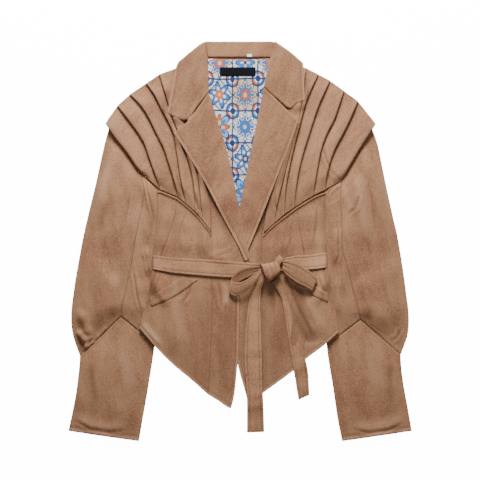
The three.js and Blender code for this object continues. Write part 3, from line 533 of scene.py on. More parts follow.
def cutOf(mid):
    # mean width, mean length and area of a grid's cloth, in metres
    across = np.linalg.norm(np.diff(mid, axis=1), axis=2).sum(axis=1)
    down = np.linalg.norm(np.diff(mid, axis=0), axis=2).sum(axis=0)
    cell = np.linalg.norm(np.cross(mid[1:, :-1] - mid[:-1, :-1], mid[:-1, 1:] - mid[:-1, :-1]), axis=2)
    other = np.linalg.norm(np.cross(mid[1:, :-1] - mid[1:, 1:], mid[:-1, 1:] - mid[1:, 1:]), axis=2)
    return float(across.max() * mm), float(down.max() * mm), float((cell.sum() + other.sum()) / 2 * mm * mm)


def nodeMaker(tree):
    # short hands for making and joining shader nodes
    def make(kind, inputs=None, **settings):
        # a node with its settings; an input is a value or the socket that is joined to it
        node = tree.nodes.new(kind)
        for key, value in settings.items():
            setattr(node, key, value)
        for key, value in (inputs or {}).items():
            socket = node.inputs[key]
            if isinstance(value, bpy.types.NodeSocket):
                tree.links.new(value, socket)
            else:
                socket.default_value = value
        return node

    def math(op, a, b=0.0, c=0.0):
        # the operation on up to three values
        return make("ShaderNodeMath", {0: a, 1: b, 2: c}, operation=op).outputs[0]

    def blend(factor, a, b):
        # a, then b as the factor goes from 0 to 1
        node = make("ShaderNodeMix", {0: factor, 6: a, 7: b}, data_type="RGBA", blend_type="MIX")
        return node.outputs[2]

    return make, math, blend


def newMaterial(name, roughness, specular):
    # a material with its Principled shader set, and the short hands for its nodes
    material = bpy.data.materials.new(name)
    material.use_nodes = True
    tree = material.node_tree
    shader = tree.nodes["Principled BSDF"]
    shader.inputs["Roughness"].default_value = roughness
    shader.inputs["Specular IOR Level"].default_value = specular
    return material, tree, shader, nodeMaker(tree)


def relieved(tree, shader, make, strength, distance, height):
    # the height drawn as a bump on the shader
    bump = make("ShaderNodeBump", {"Strength": strength, "Distance": distance, "Height": height})
    tree.links.new(bump.outputs[0], shader.inputs["Normal"])


# light, middle and dark are the nap's own tones; ridge is the colour of painted highlight, and the dark seam
# colour also paints shade
napLook = {
    "light": (0.418, 0.231, 0.124, 1), "middle": (0.310, 0.153, 0.083, 1), "dark": (0.205, 0.090, 0.050, 1),
    "cloud": 11.0, "streak": 60.0, "grain": 1100.0, "seamAndShadeDark": (0.125, 0.060, 0.036, 1),
    "ridge": (0.56, 0.335, 0.205), "markShare": 0.75, "bump": 0.35, "bumpDepth": 0.0004,
    "sheen": 0.12, "sheenRoughness": 0.45, "sheenTint": (0.95, 0.68, 0.48, 1), "specular": 0.12,
    "fleck": 420.0, "cloudShare": 0.26, "streakShare": 0.22, "grainShare": 0.217, "fleckShare": 1.4,
    "contrast": 5.0, "middleStart": -1.75, "lightStart": -2.2,
}


def napGroup():
    # suede nap: broad clouds, streaks along the cloth and fine grain, mixed to a colour, a roughness and a
    # height
    tree = bpy.data.node_groups.new("suedeNap", "ShaderNodeTree")
    face = tree.interface
    face.new_socket("Place", in_out="INPUT", socket_type="NodeSocketVector")
    for name in ("Light", "Middle", "Dark"):
        face.new_socket(name, in_out="INPUT", socket_type="NodeSocketColor")
    for name, value in (("Cloud Scale", 26.0), ("Streak Scale", 70.0), ("Grain Scale", 1500.0)):
        face.new_socket(name, in_out="INPUT", socket_type="NodeSocketFloat").default_value = value
    face.new_socket("Colour", in_out="OUTPUT", socket_type="NodeSocketColor")
    face.new_socket("Roughness", in_out="OUTPUT", socket_type="NodeSocketFloat")
    face.new_socket("Height", in_out="OUTPUT", socket_type="NodeSocketFloat")
    make, math, blend = nodeMaker(tree)
    inn = make("NodeGroupInput").outputs
    clouds = make("ShaderNodeTexNoise", {"Vector": inn["Place"], "Scale": inn["Cloud Scale"], "Detail": 6.0,
                                         "Roughness": 0.62, "Distortion": 0.6}).outputs[0]
    stretched = make("ShaderNodeMapping", {"Vector": inn["Place"], "Scale": (1.0, 0.22, 1.0)}).outputs[0]
    streaks = make("ShaderNodeTexNoise", {"Vector": stretched, "Scale": inn["Streak Scale"], "Detail": 4.0,
                                          "Roughness": 0.6}).outputs[0]
    grain = make("ShaderNodeTexNoise", {"Vector": inn["Place"], "Scale": inn["Grain Scale"], "Detail": 3.0,
                                        "Roughness": 0.7}).outputs[0]
    look = napLook
    flecks = make("ShaderNodeTexNoise", {"Vector": inn["Place"], "Scale": look["fleck"],
                                         "Detail": 2.0}).outputs[0]
    fine = math("ADD", grain, math("MULTIPLY", flecks, look["fleckShare"]))
    tone = math("ADD", math("MULTIPLY", clouds, look["cloudShare"]),
                math("MULTIPLY", streaks, look["streakShare"]))
    tone = math("ADD", tone, math("MULTIPLY", fine, look["grainShare"]))
    middle, light = (math("MULTIPLY_ADD", tone, look["contrast"], look[key])
                     for key in ("middleStart", "lightStart"))
    colour = blend(light, blend(middle, inn["Dark"], inn["Middle"]), inn["Light"])
    height = math("ADD", math("MULTIPLY", grain, 0.6), math("MULTIPLY", flecks, 0.5))
    out = make("NodeGroupOutput")
    tree.links.new(colour, out.inputs["Colour"])
    tree.links.new(math("MULTIPLY_ADD", tone, -0.16, 0.98), out.inputs["Roughness"])
    tree.links.new(height, out.inputs["Height"])
    return tree


nap = napGroup()


def suedeMaterial(name, turn, tint=1.0):
    # matte napped suede; turn sets which way the streaks of the nap run on the piece
    look = napLook
    material, tree, shader, (make, math, blend) = newMaterial(name, 0.9, look["specular"])
    place = make("ShaderNodeTexCoord").outputs["Object"]
    turned = make("ShaderNodeMapping", {"Vector": place, "Rotation": (0, 0, turn),
                                        "Location": (turn, 0.3 * turn, 0)})
    tones = {key.title(): [value * tint for value in look[key][:3]] + [1]
             for key in ("light", "middle", "dark")}
    worn = make("ShaderNodeGroup", node_tree=nap)
    tree.links.new(turned.outputs[0], worn.inputs["Place"])
    for socket, value in {**tones, "Cloud Scale": look["cloud"], "Streak Scale": look["streak"],
                          "Grain Scale": look["grain"]}.items():
        worn.inputs[socket].default_value = value
    # below zero the mark paints highlight towards the ridge colour, above zero seam lines and painted shade
    # towards the dark seam colour
    mark = make("ShaderNodeAttribute", attribute_name="seamAndPaintedLightMark").outputs["Fac"]
    lit = [value * tint for value in look["ridge"]] + [1]
    colour = blend(math("MULTIPLY", mark, -1.0), worn.outputs["Colour"], lit)
    colour = blend(math("MULTIPLY", mark, look["markShare"]), colour, look["seamAndShadeDark"])
    tree.links.new(colour, shader.inputs["Base Color"])
    tree.links.new(worn.outputs["Roughness"], shader.inputs["Roughness"])
    relieved(tree, shader, make, look["bump"], look["bumpDepth"], worn.outputs["Height"])
    for socket, key in (("Weight", "sheen"), ("Roughness", "sheenRoughness"), ("Tint", "sheenTint")):
        shader.inputs["Sheen " + socket].default_value = look[key]
    return material


tileLook = {
    "cellX": 0.0445, "cellY": 0.0561, "shiftX": 0.0126, "shiftY": -0.0035, "warp": 0.004,
    "paper": (0.74, 0.73, 0.70, 1), "navy": (0.012, 0.032, 0.135, 1), "blue": (0.035, 0.17, 0.50, 1),
    "sky": (0.16, 0.42, 0.70, 1), "orange": (0.62, 0.13, 0.015, 1), "cream": (0.66, 0.50, 0.30, 1),
    "vines": 60.0, "threads": 900.0,
}


def tileMaterial():
    # printed patchwork of square tiles: each cell draws a number that picks its petals, ring and colours
    material, tree, shader, (make, math, blend) = newMaterial("tileLining", 0.55, 0.3)
    place = make("ShaderNodeTexCoord").outputs["Object"]
    split = make("ShaderNodeSeparateXYZ", {0: place}).outputs
    drift = make("ShaderNodeTexNoise", {"Vector": place, "Scale": 38.0, "Detail": 1.0}).outputs["Color"]
    drift = make("ShaderNodeSeparateColor", {0: drift}).outputs
    warp = tileLook["warp"]
    shifted = [math("ADD", split[k], math("MULTIPLY_ADD", drift[k], warp, tileLook[shift] - warp / 2))
               for k, shift in enumerate(("shiftX", "shiftY"))]
    px, py = (math("DIVIDE", value, tileLook[cell]) for value, cell in zip(shifted, ("cellX", "cellY")))
    cellX, cellY = math("FLOOR", px), math("FLOOR", py)
    u = math("SUBTRACT", math("FRACT", px), 0.5)
    v = math("SUBTRACT", math("FRACT", py), 0.5)

    def draft(stepX, stepY, start):
        # a number from 0 to 1 for each tile: the fraction of its column and row times fixed steps
        return math("FRACT", math("MULTIPLY_ADD", cellX, stepX, math("MULTIPLY_ADD", cellY, stepY, start)))

    pick = draft(0.53, 0.31, 0.1)
    radius = math("SQRT", math("ADD", math("MULTIPLY", u, u), math("MULTIPLY", v, v)))
    angle = math("ARCTAN2", v, u)

    def band(value, low, high, soft=0.012):
        # 1 where value lies between low and high, with soft ends
        rise, fall = (make("ShaderNodeMapRange", {
            0: value, 1: at - soft, 2: at + soft, 3: start, 4: 1 - start}) for at, start in (
                (low, 0.0), (high, 1.0)))
        return math("MULTIPLY", rise.outputs[0], fall.outputs[0])

    def petals(count, shift, reach, deep):
        # petal outline: reach plus deep times the cosine of count times the angle
        wave = math("COSINE", math("MULTIPLY_ADD", angle, count, shift))
        return math("SUBTRACT", math("MULTIPLY_ADD", wave, deep, reach), radius)

    square = math("MAXIMUM", math("ABSOLUTE", u), math("ABSOLUTE", v))
    diamond = math("ADD", math("ABSOLUTE", u), math("ABSOLUTE", v))
    corner = math("SQRT", math("ADD", math("POWER", math("SUBTRACT", math("ABSOLUTE", u), 0.5), 2.0),
                               math("POWER", math("SUBTRACT", math("ABSOLUTE", v), 0.5), 2.0)))
    isA = math("LESS_THAN", pick, 0.36)
    isB = math("MULTIPLY", math("GREATER_THAN", pick, 0.36), math("LESS_THAN", pick, 0.68))
    isC = math("GREATER_THAN", pick, 0.68)
    warm = math("GREATER_THAN", draft(0.41, 0.57, 0.05), 0.5)
    paper, cream, navy, blue, sky, orange = (
        tileLook[key] for key in ("paper", "cream", "navy", "blue", "sky", "orange"))
    main, other = blend(warm, navy, orange), blend(warm, orange, blue)
    art = blend(math("GREATER_THAN", draft(0.27, 0.43, 0.2), 0.7), paper, cream)

    def draw(mask, colour):
        # paints colour over the art where the mask is 1
        nonlocal art
        art = blend(mask, art, colour)

    def leaf(kind, count, shift, reach, deep, colour):
        # petals of one motif, filled to their outline
        draw(math("MULTIPLY", kind, band(petals(count, shift, reach, deep), 0.0, 1.0)), colour)

    # fine vines on the open ground, then quarter rosettes in the corners
    vine = make("ShaderNodeTexWave", {"Vector": place, "Scale": tileLook["vines"], "Distortion": 14.0,
                                      "Detail": 1.0}, wave_type="RINGS").outputs["Fac"]
    draw(math("MULTIPLY", band(vine, 0.74, 2.0, 0.05), 0.75), blend(0.35, navy, paper))
    for size, colour in ((0.265, navy), (0.215, other), (0.15, paper), (0.10, navy)):
        draw(band(corner, -1.0, size), colour)
    # eight broad leaves round a ringed eye; four on the diagonals, a cross of small ones between; a diamond
    # frame round a star of six: count, turn, reach and depth of the petals, colour
    draw(math("MULTIPLY", isC, band(diamond, 0.47, 0.52)), navy)
    for kind, eye, eyeColour, petalRows in (
            (isA, 0.07, cream, [(8.0, 0.0, 0.39, 0.09, navy),
                                (8.0, 0.0, 0.335, 0.095, blend(warm, cream, paper)),
                                (8.0, 0.0, 0.26, 0.10, blue), (8.0, 3.1416, 0.17, 0.06, navy),
                                (8.0, 3.1416, 0.145, 0.055, other)]),
            (isB, 0.055, navy, [(4.0, 3.1416, 0.325, 0.20, navy), (4.0, 3.1416, 0.26, 0.18, sky),
                                (4.0, 3.1416, 0.17, 0.14, blue), (4.0, 0.0, 0.22, 0.17, navy),
                                (4.0, 0.0, 0.19, 0.155, other), (4.0, 0.0, 0.11, 0.09, cream)]),
            (isC, 0.06, cream, [(6.0, 1.57, 0.35, 0.11, navy), (6.0, 1.57, 0.30, 0.10, blue),
                                (6.0, 1.57, 0.20, 0.075, paper), (12.0, 0.0, 0.15, 0.03, main)])):
        for row in petalRows:
            leaf(kind, *row)
        draw(math("MULTIPLY", kind, band(radius, -1.0, eye)), eyeColour)
    # the dark line between tiles
    draw(band(square, 0.474, 1.0, 0.008), navy)
    tree.links.new(art, shader.inputs["Base Color"])
    weave = make("ShaderNodeTexWave", {"Vector": place, "Scale": tileLook["threads"], "Distortion": 0.3},
                 bands_direction="DIAGONAL")
    relieved(tree, shader, make, 0.15, 0.0002, weave.outputs["Fac"])
    return material


def wovenMaterial(name, colour, threads):
    # plain ribbon weave: fine threads across and along, each a wave, the higher one on top
    material, tree, shader, (make, math, blend) = newMaterial(name, 0.85, 0.08)
    place = make("ShaderNodeTexCoord").outputs["Object"]
    warp, weft = (make("ShaderNodeTexWave", {"Vector": place, "Scale": scale}, bands_direction=way)
                  for scale, way in ((threads, "X"), (threads * 0.8, "Y")))
    high = math("MAXIMUM", warp.outputs["Fac"], weft.outputs["Fac"])
    # the higher threads painted lighter, a painted highlight on their crowns
    lit = tuple(min(1, c * 1.6 + 0.002) for c in colour[:3]) + (1,)
    tree.links.new(blend(math("MULTIPLY", high, 0.6), colour, lit), shader.inputs["Base Color"])
    relieved(tree, shader, make, 0.3, 0.0002, high)
    return material


suedeBody = suedeMaterial("suedeBody", 0.0)
suedeYoke = suedeMaterial("suedeYoke", 0.9)
suedeSleeve = suedeMaterial("suedeSleeve", -0.25)
suedeBelt = suedeMaterial("suedeBelt", 1.5, 1.25)
suedeCollar = suedeMaterial("suedeCollar", 0.5, 0.95)
tileLining = tileMaterial()
labelBlack = wovenMaterial("labelBlack", (0.004, 0.004, 0.006, 1), 1100.0)
tabWhite = wovenMaterial("tabWhite", (0.80, 0.79, 0.77, 1), 900.0)
print("materials ready")


panelStep = 2.2


def laidPanel(piece):
    # a panel filled between its edge lines, its middle at bed plus half its thickness, folds and edge forms
    thick, relief = piece.get("thick", cloth), piece.get("relief", bodyFold)
    material, step = piece.get("material", suedeBody), piece.get("step", panelStep)
    wide = max(lengthOf(piece["top"]), lengthOf(piece["bottom"]),
               float(np.linalg.norm(along(piece["left"], 0.5) - along(piece["right"], 0.5))))
    tall = max(lengthOf(piece["left"]), lengthOf(piece["right"]))
    flat = fill(piece, spans(tall, step), spans(wide, step))
    x, y = flat[..., 0], flat[..., 1]
    z = piece["bed"](x, y) + thick / 2 + (relief(x, y) if relief else 0)
    marks = np.zeros_like(z)
    for side, d in edgeDistances(flat).items():
        move, mark = edgeForm(piece.get("edges", {}).get(side, "none"), d, thick)
        z = z + move
        marks = strongest(marks, mark)
    # the body's painted shade and highlight, on the folded suede panels only
    if relief is bodyFold and material is suedeBody:
        marks = strongest(marks, bodyPaintedShading(x, y))
    mid = np.dstack([x, y, z])
    made = wallFrom(piece["name"], mid, thick, marks)
    dress(made, material, piece["node"], piece.get("slot", "suede"), cutOf(mid),
          restsOn=piece.get("restsOn", ()))
    for side, inset in piece.get("stitch", ()):
        stitchAlong(mid + [0, 0, thick / 2], side, inset)


def inward(table):
    # a side line moved a little towards the middle, so that the back stays hidden beneath the fronts
    hidden = 0.3
    return table - hidden * np.sign(table) * [1, 0]


sideEdges = {"top": "double", "right": "seam", "left": "roll"}
panelEdges = {"top": "double", "bottom": "hem", "left": "seam", "right": "seam"}
centreEdges = {"bottom": "hem", "left": "seam", "right": "edge"}
weltEdges = {"top": "roll", "bottom": "seam", "left": "seam"}
lapelEdges = {"top": "seam", "right": "edge", "left": "roll"}
collarEdges = {"bottom": "seam", "right": "edge", "left": "roll", "top": "roll"}
panelStitch = [("bottom", 6.4), ("right", 3.4), ("top", 3.4)]
welt = {"thick": 1.1, "edges": weltEdges, "stitch": [("bottom", 2.6)], "above": 0.1}
bodyPanels = [
    {"name": "backCloth", "node": "back", "bed": backBed, "relief": None, "step": 5.0,
     "top": line([-57, 320], [0, 318], [57, 320]), "bottom": line([-175.2, -152], [0, -156], [172, -156]),
     "left": np.vstack([shoulderLeft, armholeLeft[1:], inward(sideLeft[1:])]),
     "right": np.vstack([shoulderRight, armholeRight[1:], inward(sideRight[1:10]), line([172, -156])])},
    {"name": "liningCloth", "node": "back_lining", "bed": lambda x, y: layers["liningBed"] + backBed(x, y),
     "thick": layers["lining"], "material": tileLining, "slot": "lining", "restsOn": ["backCloth"],
     "relief": lambda x, y: 0.15 * np.sin(x / 11 + y / 37) ** 2,
     "top": line([-56, 318.5], [0, 317], [54, 318.5]), "bottom": line([-10, 52], [9, 52]),
     "left": line([-56, 318.5], [-66, 270], [-52, 200], [-30, 110], [-10, 52]),
     "right": line([54, 318.5], [58, 270], [44, 200], [26, 110], [9, 52])},
    {"name": "frontSideLeft", "node": "front_side_left", "bed": frontBed, "edges": sideEdges,
     "restsOn": ["backCloth"],
     "top": line([-144, 87], [-138, 87.5], [-111, 76.5]), "bottom": line([-147, -29], [-139, -29]),
     "left": np.vstack([line([-144, 87]), sideLeft[1:4], line([-147, -29])]),
     "right": np.vstack([line([-111, 76.5]), princessLeft[1:5]])},
    {"name": "frontPanelLeft", "node": "front_panel_left", "bed": leftCentreBed, "edges": panelEdges,
     "stitch": panelStitch, "restsOn": ["backCloth"],
     "top": yokeSeamLeft[1:6], "bottom": hemLeft,
     "left": np.vstack([line([-111.5, 77.5]), princessLeft[1:4], line([-139.5, -32], [-146.6, -39]),
                        sideLeft[5:11]]),
     "right": np.vstack([line([-50, 11]), seamLeft[7:12]])},
    {"name": "frontCentreLeft", "node": "front_centre_left", "bed": leftCentreBed, "edges": centreEdges,
     "stitch": panelStitch[:1], "restsOn": ["frontCentreRight"],
     "top": line([-74, 286], [-54.5, 259]), "bottom": hemTipLeft,
     "left": np.vstack([line([-74, 286]), seamLeft[1:12]]), "right": np.vstack([rollLeft, edgeLeft[1:]])},
    {"name": "frontSideRight", "node": "front_side_right", "bed": frontBed, "edges": sideEdges,
     "restsOn": ["backCloth"],
     "top": line([150, 86], [130.5, 78], [101, 60.5]), "bottom": line([147, -25], [113, -25]),
     "left": np.vstack([sideRight[0:4], line([147, -25])]),
     "right": np.vstack([line([101, 60.5]), princessRight[1:3], line([112, -16], [113, -25])])},
    {"name": "frontPanelRight", "node": "front_panel_right", "bed": frontBed, "edges": panelEdges,
     "stitch": panelStitch, "restsOn": ["backCloth"],
     "top": line([101, 60.5], [77, 42.5], [55, 25], [41, 10]), "bottom": hemRight,
     "left": np.vstack([line([101, 60.5]), princessRight[1:4],
                        line([112.3, -30], [116, -34], [130, -36], [146.6, -39], [147, -49]),
                        sideRight[6:11]]),
     "right": np.vstack([line([41, 10]), seamRight[8:13]])},
    {"name": "frontCentreRight", "node": "front_centre_right", "bed": frontBed, "edges": centreEdges,
     "stitch": panelStitch[:1], "restsOn": ["liningCloth"],
     "top": line([75.5, 290], [42.5, 269]), "bottom": hemTipRight,
     "left": np.vstack([line([75.5, 290]), seamRight[1:13]]),
     "right": np.vstack([rollRight, edgeRight[1:]])},
    {**welt, "name": "pocketWeltLeft", "node": "pocket_welt_left", "restsOn": ["frontPanelLeft"],
     "bed": lambda x, y: leftCentreBed(x, y) + cloth + welt["above"],
     "top": line([-158.5, -99.5], [-130.5, -82], [-101, -62.5]),
     "bottom": line([-155, -114.5], [-113, -96], [-73, -68]),
     "left": line([-158.5, -99.5], [-155, -114.5]), "right": line([-101, -62.5], [-73, -68])},
    {**welt, "name": "pocketWeltRight", "node": "pocket_welt_right", "restsOn": ["frontPanelRight"],
     "bed": lambda x, y: frontBed(x, y) + cloth + welt["above"],
     "top": line([155, -91.5], [129.5, -76], [114.5, -61]),
     "bottom": line([154.5, -107.5], [126.5, -94], [102, -75]),
     "left": line([155, -91.5], [154.5, -107.5]), "right": line([114.5, -61], [102, -75])},
]
for panel in bodyPanels:
    laidPanel(panel)
print("fronts ready")

# shoulder pleats: the inner line, then six folds from neck to sleeve
pleatsLeft = [
    line([-77, 316], [-71, 259.5], [-66, 194.5], [-60.5, 142], [-58, 107], [-52, 62.5], [-50, 13]),
    line([-113.5, 302], [-104.5, 262], [-92, 212], [-80, 159.5], [-72, 109], [-67, 63.5], [-63, 32]),
    line([-140.5, 292], [-125.5, 242], [-116, 212], [-101, 173], [-88, 135], [-80, 96.5], [-77, 48]),
    line([-164, 276], [-149.5, 256], [-138, 233], [-126, 210.5], [-116, 188], [-110, 155], [-103, 108],
         [-93, 63]),
    line([-192, 257], [-171.5, 235], [-158, 213], [-146, 188.5], [-133.5, 164], [-126, 141.5],
         [-116, 110], [-107, 75]),
    line([-214, 237], [-194, 211], [-178.5, 190], [-167, 170.5], [-159, 147.5], [-149, 119.5], [-141, 97],
         [-139, 89]),
    line([-235, 206], [-216.5, 179.5], [-198.5, 157], [-180.5, 130.5], [-168.5, 116]),
]
pleatsRight = [
    line([77.5, 316], [74, 259.5], [67, 194.5], [58.5, 142], [51.5, 107], [46, 63.5], [42, 12]),
    line([116, 303], [110, 253], [102, 203.5], [90, 159.5], [76, 107], [65.5, 63.5], [60, 28.5]),
    line([137.5, 292], [122, 258], [114, 236], [106, 206], [95, 164], [86, 124], [80, 88], [78, 44]),
    line([158, 281], [139.5, 240], [130.5, 215], [117, 173], [106, 135], [99, 97], [95, 56]),
    line([182.5, 263], [166.5, 216], [154, 191], [144, 165], [137, 133.5], [128, 78]),
    line([207, 245], [188.5, 203], [168, 164], [158, 138], [152, 112], [149, 88]),
    line([238, 205], [211, 164], [190, 128], [176, 104.5]),
]
pleatLook = {
    "depth": 9.0, "depthLow": 4.0, "capRise": 3.2, "capRiseLow": 2.2, "lipLift": 2.6, "rows": 130,
    "end": 0.985, "share": 0.42, "flat": 2.2, "inner": 0.6, "follow": 1.2, "under": 0.6, "pressed": 1.6,
    "lip": 0.4,
}


def yoke(name, pleats, node):
    # across each row: every pleat climbs to its fold, turns under over a half circle and comes back below
    look = pleatLook
    v = np.linspace(0, 1, look["rows"])
    lips = [along(row, look["end"] * v) for row in pleats]
    depth = mix(look["depth"], look["depthLow"], v)
    points, marks = [], []
    last = len(lips) - 1
    for i in range(1, last + 1):
        a, b = lips[i - 1], lips[i]
        width = np.linalg.norm(b - a, axis=1)
        way = (b - a) / width[:, None]
        low = frontBed(a[:, 0], a[:, 1]) + cloth / 2
        rise = mix(look["capRise"], look["capRiseLow"], v) if i == last else 0
        high = frontBed(b[:, 0], b[:, 1]) + cloth / 2 + 2 * pleatPly + rise
        loft = look["lipLift"] * ease(0, 0.15, v) * ease(1.0, 0.8, v)
        back = np.minimum(depth, width * look["share"])
        press = look["pressed"] * pleatPly * ease(0.84, 1.0, v)
        radius = (pleatPly + loft) / 2
        high = high + loft - press
        end = width - back - look["flat"]
        tip = width - radius - look["lip"]

        def put(reach, z, mark=0.0):
            # a column of points at reach along every row
            spot = a + way * np.asarray(reach + 0 * width)[:, None]
            x, y = spot.T
            points.append(np.column_stack([spot, z + bodyFold(x, y)]))
            marks.append(mark + 0 * width)

        start = look["inner"] if i == 1 else look["follow"]
        # marks: painted shade where a pleat starts under the lip before, painted highlight on the lip's top,
        # and painted shade round its underside and on the plies beneath (under)
        for q in np.linspace(0, 1, 9):
            dark = 0.45 * (1 - q) ** 6 if i > 1 else 0
            put(mix(start, end, q), mix(low, high, 0.5 * q + 0.5 * ease(0, 1, q)), dark)
        for q in np.linspace(0.2, 1, 5):
            put(mix(end, tip, q), high + 0.24 * loft * np.sin(np.pi * q), -0.3 * q)
        for q in np.linspace(0.12, 1, 8):
            w = q * np.pi
            put(tip + radius * np.sin(w), high - radius + radius * np.cos(w), 0.8 * q - 0.3)
        high = high - loft
        radius = pleatPly / 2
        for share in (0.6, 1):
            put(width - back * share, high - pleatPly, look["under"])
        if i == last:
            break
        beneath = high - 2 * pleatPly
        for q in np.linspace(0.25, 1, 4):
            w = q * np.pi
            put(width - back - radius * np.sin(w), beneath + radius + radius * np.cos(w), look["under"])
        put(width - back * 0.5, beneath, look["under"])
    mid = np.stack(points, axis=1)
    shown = strongest(np.stack(marks, axis=1), bodyPaintedShading(mid[..., 0], mid[..., 1]))
    made = wallFrom(name, mid, cloth, shown, False)
    dress(made, suedeYoke, node, "suede", cutOf(mid), restsOn=["backCloth"])


yoke("yokePleatsLeft", pleatsLeft, "yoke_left")
yoke("yokePleatsRight", pleatsRight, "yoke_right")
print("pleats ready")


def leftLapelBed(x, y):
    # the left lapel lies over both fronts
    return lapelBed(x, y, seamLeft) + overlap(x, y)


turned = {"thick": layers["lapel"], "material": suedeCollar, "stitch": [("right", 5.0)]}
turnedPanels = [
    {**turned, "name": "lapelLeft", "node": "lapel_left", "bed": leftLapelBed, "edges": lapelEdges,
     "restsOn": ["yokePleatsLeft", "frontCentreLeft"],
     "top": line([-54.5, 259], [-71, 236.5], [-87, 214], [-101, 201], [-116, 189.5]),
     "bottom": line([16, -31], [9.5, -35]), "left": rollLeft,
     "right": line([-116, 189.5], [-91.5, 152.5], [-58, 97], [-28.5, 40], [-2, -9], [9.5, -35])},
    {**turned, "name": "lapelRight", "node": "lapel_right", "bed": lambda x, y: lapelBed(x, y, seamRight),
     "edges": lapelEdges, "restsOn": ["yokePleatsRight", "frontCentreRight"],
     "top": line([42.5, 269], [60, 252], [77, 235.5], [102.5, 208.5]), "bottom": line([-12, -31],
                                                                                      [8, -31]),
     "left": line([42.5, 269], [25.5, 186], [10, 108], [0, 59], [-7, 11], [-12, -31]),
     "right": line([102.5, 208.5], [86, 164], [61.5, 101.5], [37, 39], [16, -12], [8, -31])},
    {**turned, "name": "collarLeft", "node": "collar_left", "bed": lambda x, y: lapelBed(x, y, seamLeft),
     "edges": collarEdges, "restsOn": ["yokePleatsLeft"],
     "top": line([-60.5, 349], [-69.5, 344], [-86, 331], [-107, 313.5]),
     "bottom": line([-54.5, 260], [-74, 236], [-94.5, 212], [-127, 223]),
     "left": line([-60.5, 349], [-57.5, 320], [-55, 290], [-54.5, 260]),
     "right": line([-107, 313.5], [-112.5, 300], [-119, 264], [-127, 223])},
    {**turned, "name": "collarRight", "node": "collar_right", "bed": lambda x, y: lapelBed(x, y, seamRight),
     "edges": collarEdges, "restsOn": ["yokePleatsRight"],
     "top": line([61.5, 350], [74, 341], [92, 328], [111, 311]),
     "bottom": line([42.5, 269.5], [62, 252], [86, 233], [98.5, 239.5], [114, 245.5]),
     "left": line([61.5, 350], [54, 322], [47, 293], [42.5, 269.5]),
     "right": line([111, 311], [112.5, 278.5], [114, 245.5])},
]
for panel in turnedPanels:
    laidPanel(panel)

# the collar's back: where its fall ends, its top edge and its neck seam, and half its width at each
collarLook = {
    "fall": 286, "top": 347.4, "neck": 321.6, "fallWidths": ([286, 316, 347.4], [64, 62, 60.5]),
    "turnWidth": 60.3, "standWidths": ([321.6, 347.4], [55.5, 60]), "rows": (22, 9, 14), "columns": 61,
}


def collarBack():
    # fall under the back, half circle over the top edge, stand back down inside to the neck seam
    look, ply, step = collarLook, layers["collarPly"], layers["collarStep"]
    low, high, radius = ply / 2, ply / 2 + step, step / 2
    fallRows, turnRows, standRows = look["rows"]
    turn = np.linspace(0.1, 0.9, turnRows) * np.pi
    fall = np.linspace(look["fall"], look["top"], fallRows)
    stand = np.linspace(look["top"], look["neck"], standRows)
    y = np.concatenate([fall, look["top"] + radius * np.sin(turn), stand])
    z = np.concatenate([np.full(fallRows, low), low + radius - radius * np.cos(turn),
                        np.full(standRows, high)])
    half = np.concatenate([np.interp(fall, *look["fallWidths"]), np.full(turnRows, look["turnWidth"]),
                           np.interp(stand, *look["standWidths"])])
    u = np.linspace(-1, 1, look["columns"])
    mid = np.dstack([u[None] * half[:, None], y[:, None] + 0 * u[None], z[:, None] + 0 * u[None]])
    dress(wallFrom("collarBackFold", mid, ply), suedeCollar, "collar_back", "suede", cutOf(mid),
          restsOn=["backCloth"])


collarBack()

tagThick = 1.0
tagGap = 0.3
tags = [
    {"name": "neckLabel", "node": "neck_label", "slot": "label", "material": labelBlack,
     "sides": (-34.5, 27.5), "ends": (304, 289),
     "bed": lambda x, y: layers["liningBed"] + layers["lining"] + tagGap + backBed(x, y)},
    {"name": "sizeTab", "node": "size_tab", "slot": "tab", "material": tabWhite, "sides": (13, 21.5),
     "ends": (327, 322), "bed": lambda x, y: layers["collarStep"] + layers["collarPly"] + tagGap + 0 * x},
]
for tag in tags:
    # a flat woven tag: a plain rectangle on its bed
    x, y = np.meshgrid(np.linspace(*tag["sides"], 24), np.linspace(*tag["ends"], 10))
    tagMid = np.dstack([x, y, tag["bed"](x, y) + tagThick / 2])
    dress(wallFrom(tag["name"], tagMid, tagThick), tag["material"], tag["node"], tag["slot"], cutOf(tagMid),
          restsOn=["liningCloth"])
print("collar ready")

# sleeves and cuffs, a row for each station: outer fold x, y, front seam x, y, inner fold x, y
sleeveLeft = line(
    [-228, 201, -174, 124, -159, 104], [-236, 172, -171, 106, -146.4, 88],
    [-243, 141.5, -167.5, 89.5, -144.8, 70], [-255, 88, -170, 63.5, -145.4, 42],
    [-267.5, 37, -176, 33.5, -147.6, 10], [-275.5, 0, -183, -1, -150.6, -18],
    [-283.5, -43, -190, -43, -151.6, -48], [-290.5, -86, -198, -84, -152, -72],
    [-295, -129, -204, -108, -151, -112], [-292, -164, -206.5, -121, -149, -146],
    [-279.5, -201, -207.5, -131.5, -148.5, -181])
sleeveRight = line(
    [230, 201, 181, 118, 163, 96.5], [240, 174, 178, 98, 151.6, 84], [244.5, 155, 177, 78, 149.8, 62],
    [258, 90, 178, 48, 149.8, 38], [269, 40, 179, 19.5, 149.9, 10], [276, 10, 181, -20, 150.8, -14],
    [285, -43, 189, -49, 151.8, -48], [291, -86, 198, -88, 153, -72], [296, -129, 206, -118, 153, -112],
    [294, -164, 209, -129, 152, -146], [281.5, -199, 211.5, -137, 152, -182])
cuffLeft = line(
    [-279.5, -201, -207.5, -131.5, -148.5, -181], [-281, -222, -214, -170, -151.5, -203],
    [-285.5, -259, -222, -222, -160, -257], [-291, -290, -229, -274, -168, -303],
    [-300, -332, -239, -341, -176, -350])
